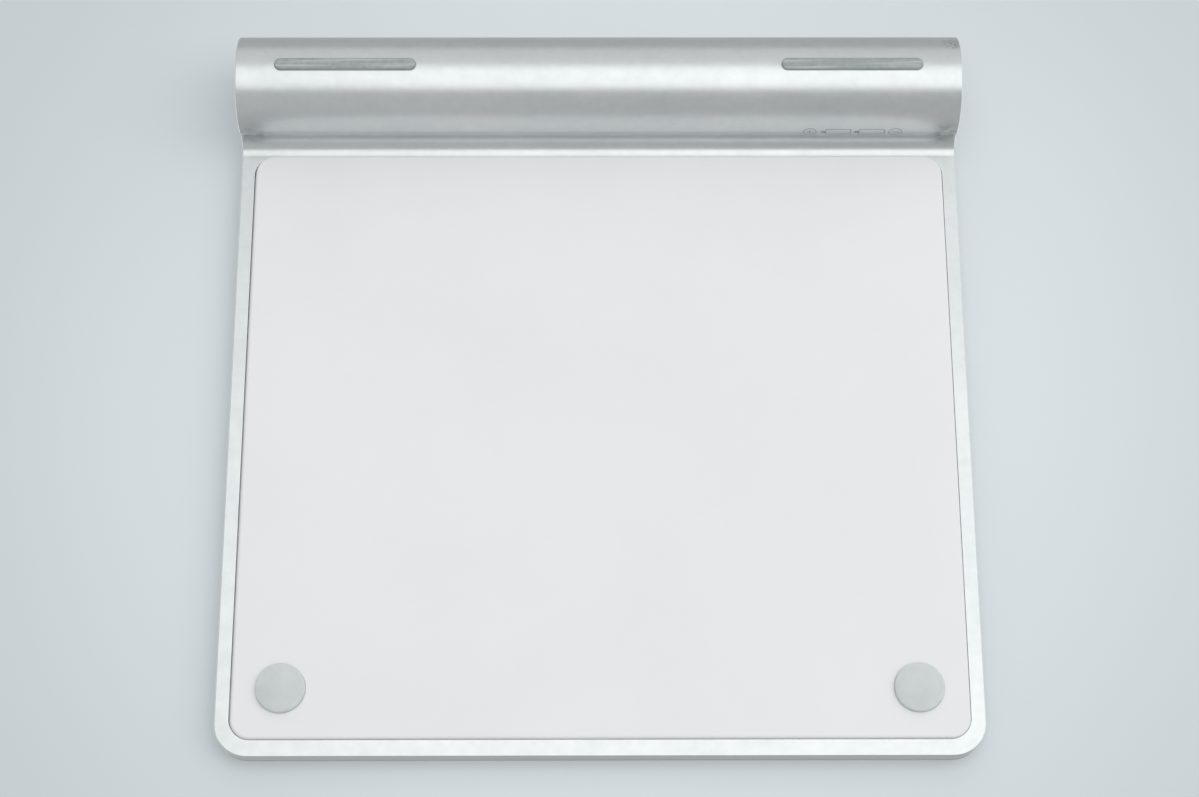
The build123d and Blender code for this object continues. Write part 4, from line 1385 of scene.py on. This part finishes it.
def disc_patches():
    """The end disc: outside, inside of its hole, and two flat faces, with broken outer edges."""
    centre, axis = (half_width, tube_y, tube_z), (1, 0, 0)
    outer = (end_cap_high[1] - end_cap_low[1]) / 2
    rim = turned_edge(0, outer, disc_edge, 1, centre, axis)
    lip = turned_edge(0, disc_hole, disc_edge, 1, centre, axis, inward=True)
    face = turned_chain([(0, disc_hole + disc_edge), (0, outer - disc_edge)], centre, axis)
    rest = turned_chain([(-disc_edge, outer), (-end_depth, outer), (-end_depth, disc_hole),
                         (-disc_edge, disc_hole)], centre, axis)
    return [rim, lip] + face + rest


def button_patches():
    """The button's dished face and its side, then the flange and the stem behind it. The dish is a parabola:
    at a share s of the face's radius, it lies at -depth * (1 - s^2)."""
    low, high = span("power_button")
    centre, axis = (high[0], tube_y, tube_z), (1, 0, 0)
    flange_radius = (high[1] - low[1]) / 2
    stem_end = low[0] - high[0]
    face_radius = button_radius - button_edge
    share = 1 - np.linspace(0, 1, dish_rows)
    slope = 2 * dish_depth * share / face_radius
    face = turned_patch(-dish_depth * (1 - share ** 2), face_radius * share,
                        np.stack((np.ones(dish_rows), -slope), axis=1), centre, axis)
    rest = turned_chain([(-button_edge, button_radius), (button_body_end, button_radius),
                         (button_body_end, flange_radius), (button_flange_end, flange_radius),
                         (button_flange_end, button_stem_radius), (stem_end, button_stem_radius),
                         (stem_end, 0)], centre, axis)
    return [turned_edge(0, button_radius, button_edge, 1, centre, axis), face] + rest


add_piece("turned_end_disc", disc_patches(), "base", "satin_aluminium", aluminium, "right_end_cap")
add_piece("dished_button", button_patches(), "power_button", "satin_aluminium", aluminium, "power_button")

# %% [markdown]
# ## Desk and light
# The photograph shows a pale desk behind the object and a soft, bright light from the upper right. The desk
# could be one big slab, but it would darken the metal and hide the part in other views. So it's a plane just
# beyond the glass that only the camera sees, and a second plane is the floor for views from above. Both are
# clear from behind and fade out towards their border. A picture of a room could light the metal. Sheet lamps
# were chosen, because each band along the tube can be placed by one of them: a wide one under the plate
# gives the broad highlight, dim ones behind and in front of it shade the tube's flanks, two at the sides
# light the glass, and an even world fills the rest.

# %% Stage planes
# Middle of the painted pool of light on desk and floor; their colour darkens away from it.
painted_light_centre = to_world(np.array((-0.002, 0.068, 0.0)))
desk_colour = (0.815, 0.875, 0.90)
desk_cloud_share = 0.985
painted_falloff_share = 0.83


def desk_material(name, painted_light_reach, clear_reach):
    """Matt desk with a faint mottle and a painted pool of light round the object: its colour is darker away
    from it. It is clear from behind, and it also turns clear towards its border, so that it has no edge
    against the world. Both reaches are from and to, in metres."""
    material = bpy.data.materials.new(name)
    material.use_nodes = True
    tree = material.node_tree
    tree.nodes.remove(tree.nodes["Principled BSDF"])
    coordinates = add_node(tree, "TexCoord").outputs["Object"]
    mottle = use_group(tree, mottle_group, {"Vector": coordinates}, Clouds_per_metre=9.0,
                       Low=(*[value * desk_cloud_share for value in desk_colour], 1),
                       High=(*desk_colour, 1))
    middle = add_node(tree, "VectorMath", {0: coordinates}, operation="DISTANCE")
    middle.inputs[1].default_value = painted_light_centre
    # Painted light: the colour falls from the desk's own to a dimmed one with distance from the pool's middle.
    falloff = remapped(tree, middle.outputs["Value"], *painted_light_reach, 0.0, 1.0)
    painted_falloff_colour = [value * painted_falloff_share for value in desk_colour]
    dimmed = mixed(tree, falloff, mottle.outputs["Color"], painted_falloff_colour)
    matt = add_node(tree, "BsdfDiffuse", {"Color": dimmed})
    clear = add_node(tree, "BsdfTransparent")
    side = add_node(tree, "NewGeometry").outputs["Backfacing"]
    border = remapped(tree, middle.outputs["Value"], *clear_reach, 0.0, 1.0)
    unseen = add_node(tree, "Math", {0: side, 1: border}, operation="MAXIMUM")
    both = tree.nodes.new("ShaderNodeMixShader")
    tree.links.new(unseen.outputs[0], both.inputs[0])
    tree.links.new(matt.outputs[0], both.inputs[1])
    tree.links.new(clear.outputs[0], both.inputs[2])
    tree.links.new(both.outputs[0], tree.nodes["Material Output"].inputs["Surface"])
    return material


def stage_plane(name, corners, material):
    """A plane that only the camera sees: it neither lights nor shades the object."""
    mesh = bpy.data.meshes.new(name)
    mesh.from_pydata([tuple(corner) for corner in corners], [], [(0, 1, 2, 3)])
    plane = bpy.data.objects.new(name, mesh)
    bpy.context.scene.collection.objects.link(plane)
    mesh.materials.append(material)
    for ray in ("diffuse", "glossy", "transmission", "volume_scatter", "shadow"):
        setattr(plane, "visible_" + ray, False)
    return plane


desk_reach = (0.45, 0.40)
desk_middle = (0.0, 0.06)
desk_height = 0.05 * mm
floor_reach = (0.8, 0.8)
floor_height = -0.1 * mm
corners = np.array([(-1, -1, 0), (-1, 1, 0), (1, 1, 0), (1, -1, 0)], float)
desk_corners = corners * (*desk_reach, 0) + (*desk_middle, desk_height)
pale_desk = desk_material("pale_desk", painted_light_reach=(0.06, 0.14), clear_reach=(0.25, 0.33))
desk = stage_plane("photo_desk", to_world(desk_corners), pale_desk)
floor_corners = corners[::-1] * (*floor_reach, 0) + (0, 0, floor_height)
pale_floor = desk_material("pale_floor", painted_light_reach=(0.08, 0.45), clear_reach=(0.35, 0.78))
stage_plane("top_floor", floor_corners, pale_floor)
print("desk faces", tuple(round(value, 2) for value in desk.data.polygons[0].normal))


# %% Lamps and world
def sheet_lamp(name, facing, across, low, high, radiance, colour=(1.0, 1.0, 1.0)):
    """A flat lamp one metre from the object, square to the direction facing. Its two sides run along across
    and along facing x across, from low to high in metres. Its power is radiance times pi times its area."""
    lamp = bpy.data.lights.new(name, "AREA")
    lamp.shape = "RECTANGLE"
    lamp.color = colour
    low, high = np.array(low), np.array(high)
    lamp.size, lamp.size_y = high - low
    lamp.energy = radiance * math.pi * lamp.size * lamp.size_y
    facing = np.array(facing) / np.linalg.norm(facing)
    along = np.cross(facing, across)
    along /= np.linalg.norm(along)
    across = np.cross(along, facing)
    middle = (low + high) / 2
    place = to_world(lamp_target) + facing + across * middle[0] + along * middle[1]
    holder = bpy.data.objects.new(name, lamp)
    bpy.context.scene.collection.objects.link(holder)
    matrix = np.eye(4)
    matrix[:3, :3] = np.stack((across, along, facing), axis=1)
    matrix[:3, 3] = place
    holder.matrix_world = Matrix(matrix.tolist())
    return holder


def make_world(fill, seen):
    """An even world: one grey lights the object and another is what the camera sees beyond the planes."""
    world = bpy.data.worlds.new("even_room")
    bpy.context.scene.world = world
    world.use_nodes = True
    tree = world.node_tree
    path = add_node(tree, "LightPath").outputs["Is Camera Ray"]
    light = tree.nodes["Background"]
    light.inputs["Color"].default_value = (*fill, 1)
    shown = add_node(tree, "Background", Color=(*seen, 1))
    both = tree.nodes.new("ShaderNodeMixShader")
    tree.links.new(path, both.inputs[0])
    tree.links.new(light.outputs[0], both.inputs[1])
    tree.links.new(shown.outputs[0], both.inputs[2])
    tree.links.new(both.outputs[0], tree.nodes["World Output"].inputs["Surface"])


lamp_target = np.array((0.0, 0.065, 0.0))
photo_right = -plate_right


def leaning_back(degrees):
    """The direction under the plate that leans from its normal towards its back edge."""
    angle = math.radians(degrees)
    return math.sin(angle) * plate_back - math.cos(angle) * plate_up


sheet_lamp("wide_softbox", leaning_back(0), photo_right, (-0.36, -0.51), (2.1, 0.466), 0.97)
sheet_lamp("rear_softbox", leaning_back(50), photo_right, (-0.6, -0.466), (2.1, 0.466), 0.28)
sheet_lamp("front_fill", leaning_back(-62), photo_right, (-1.6, -0.45), (0.05, 0.45), 0.1,
           (1.0, 0.92, 0.94))
for side in (-1, 1):
    sheet_lamp("side_softbox", (0.8 * side, 0.05, 0.6), plate_back, (-0.5, -0.5), (0.5, 0.5), 1.0)
make_world(fill=(0.50, 0.505, 0.51), seen=(0.53, 0.575, 0.60))
bpy.context.scene.view_settings.view_transform = "Standard"
print("lamps:", len(bpy.data.lights))
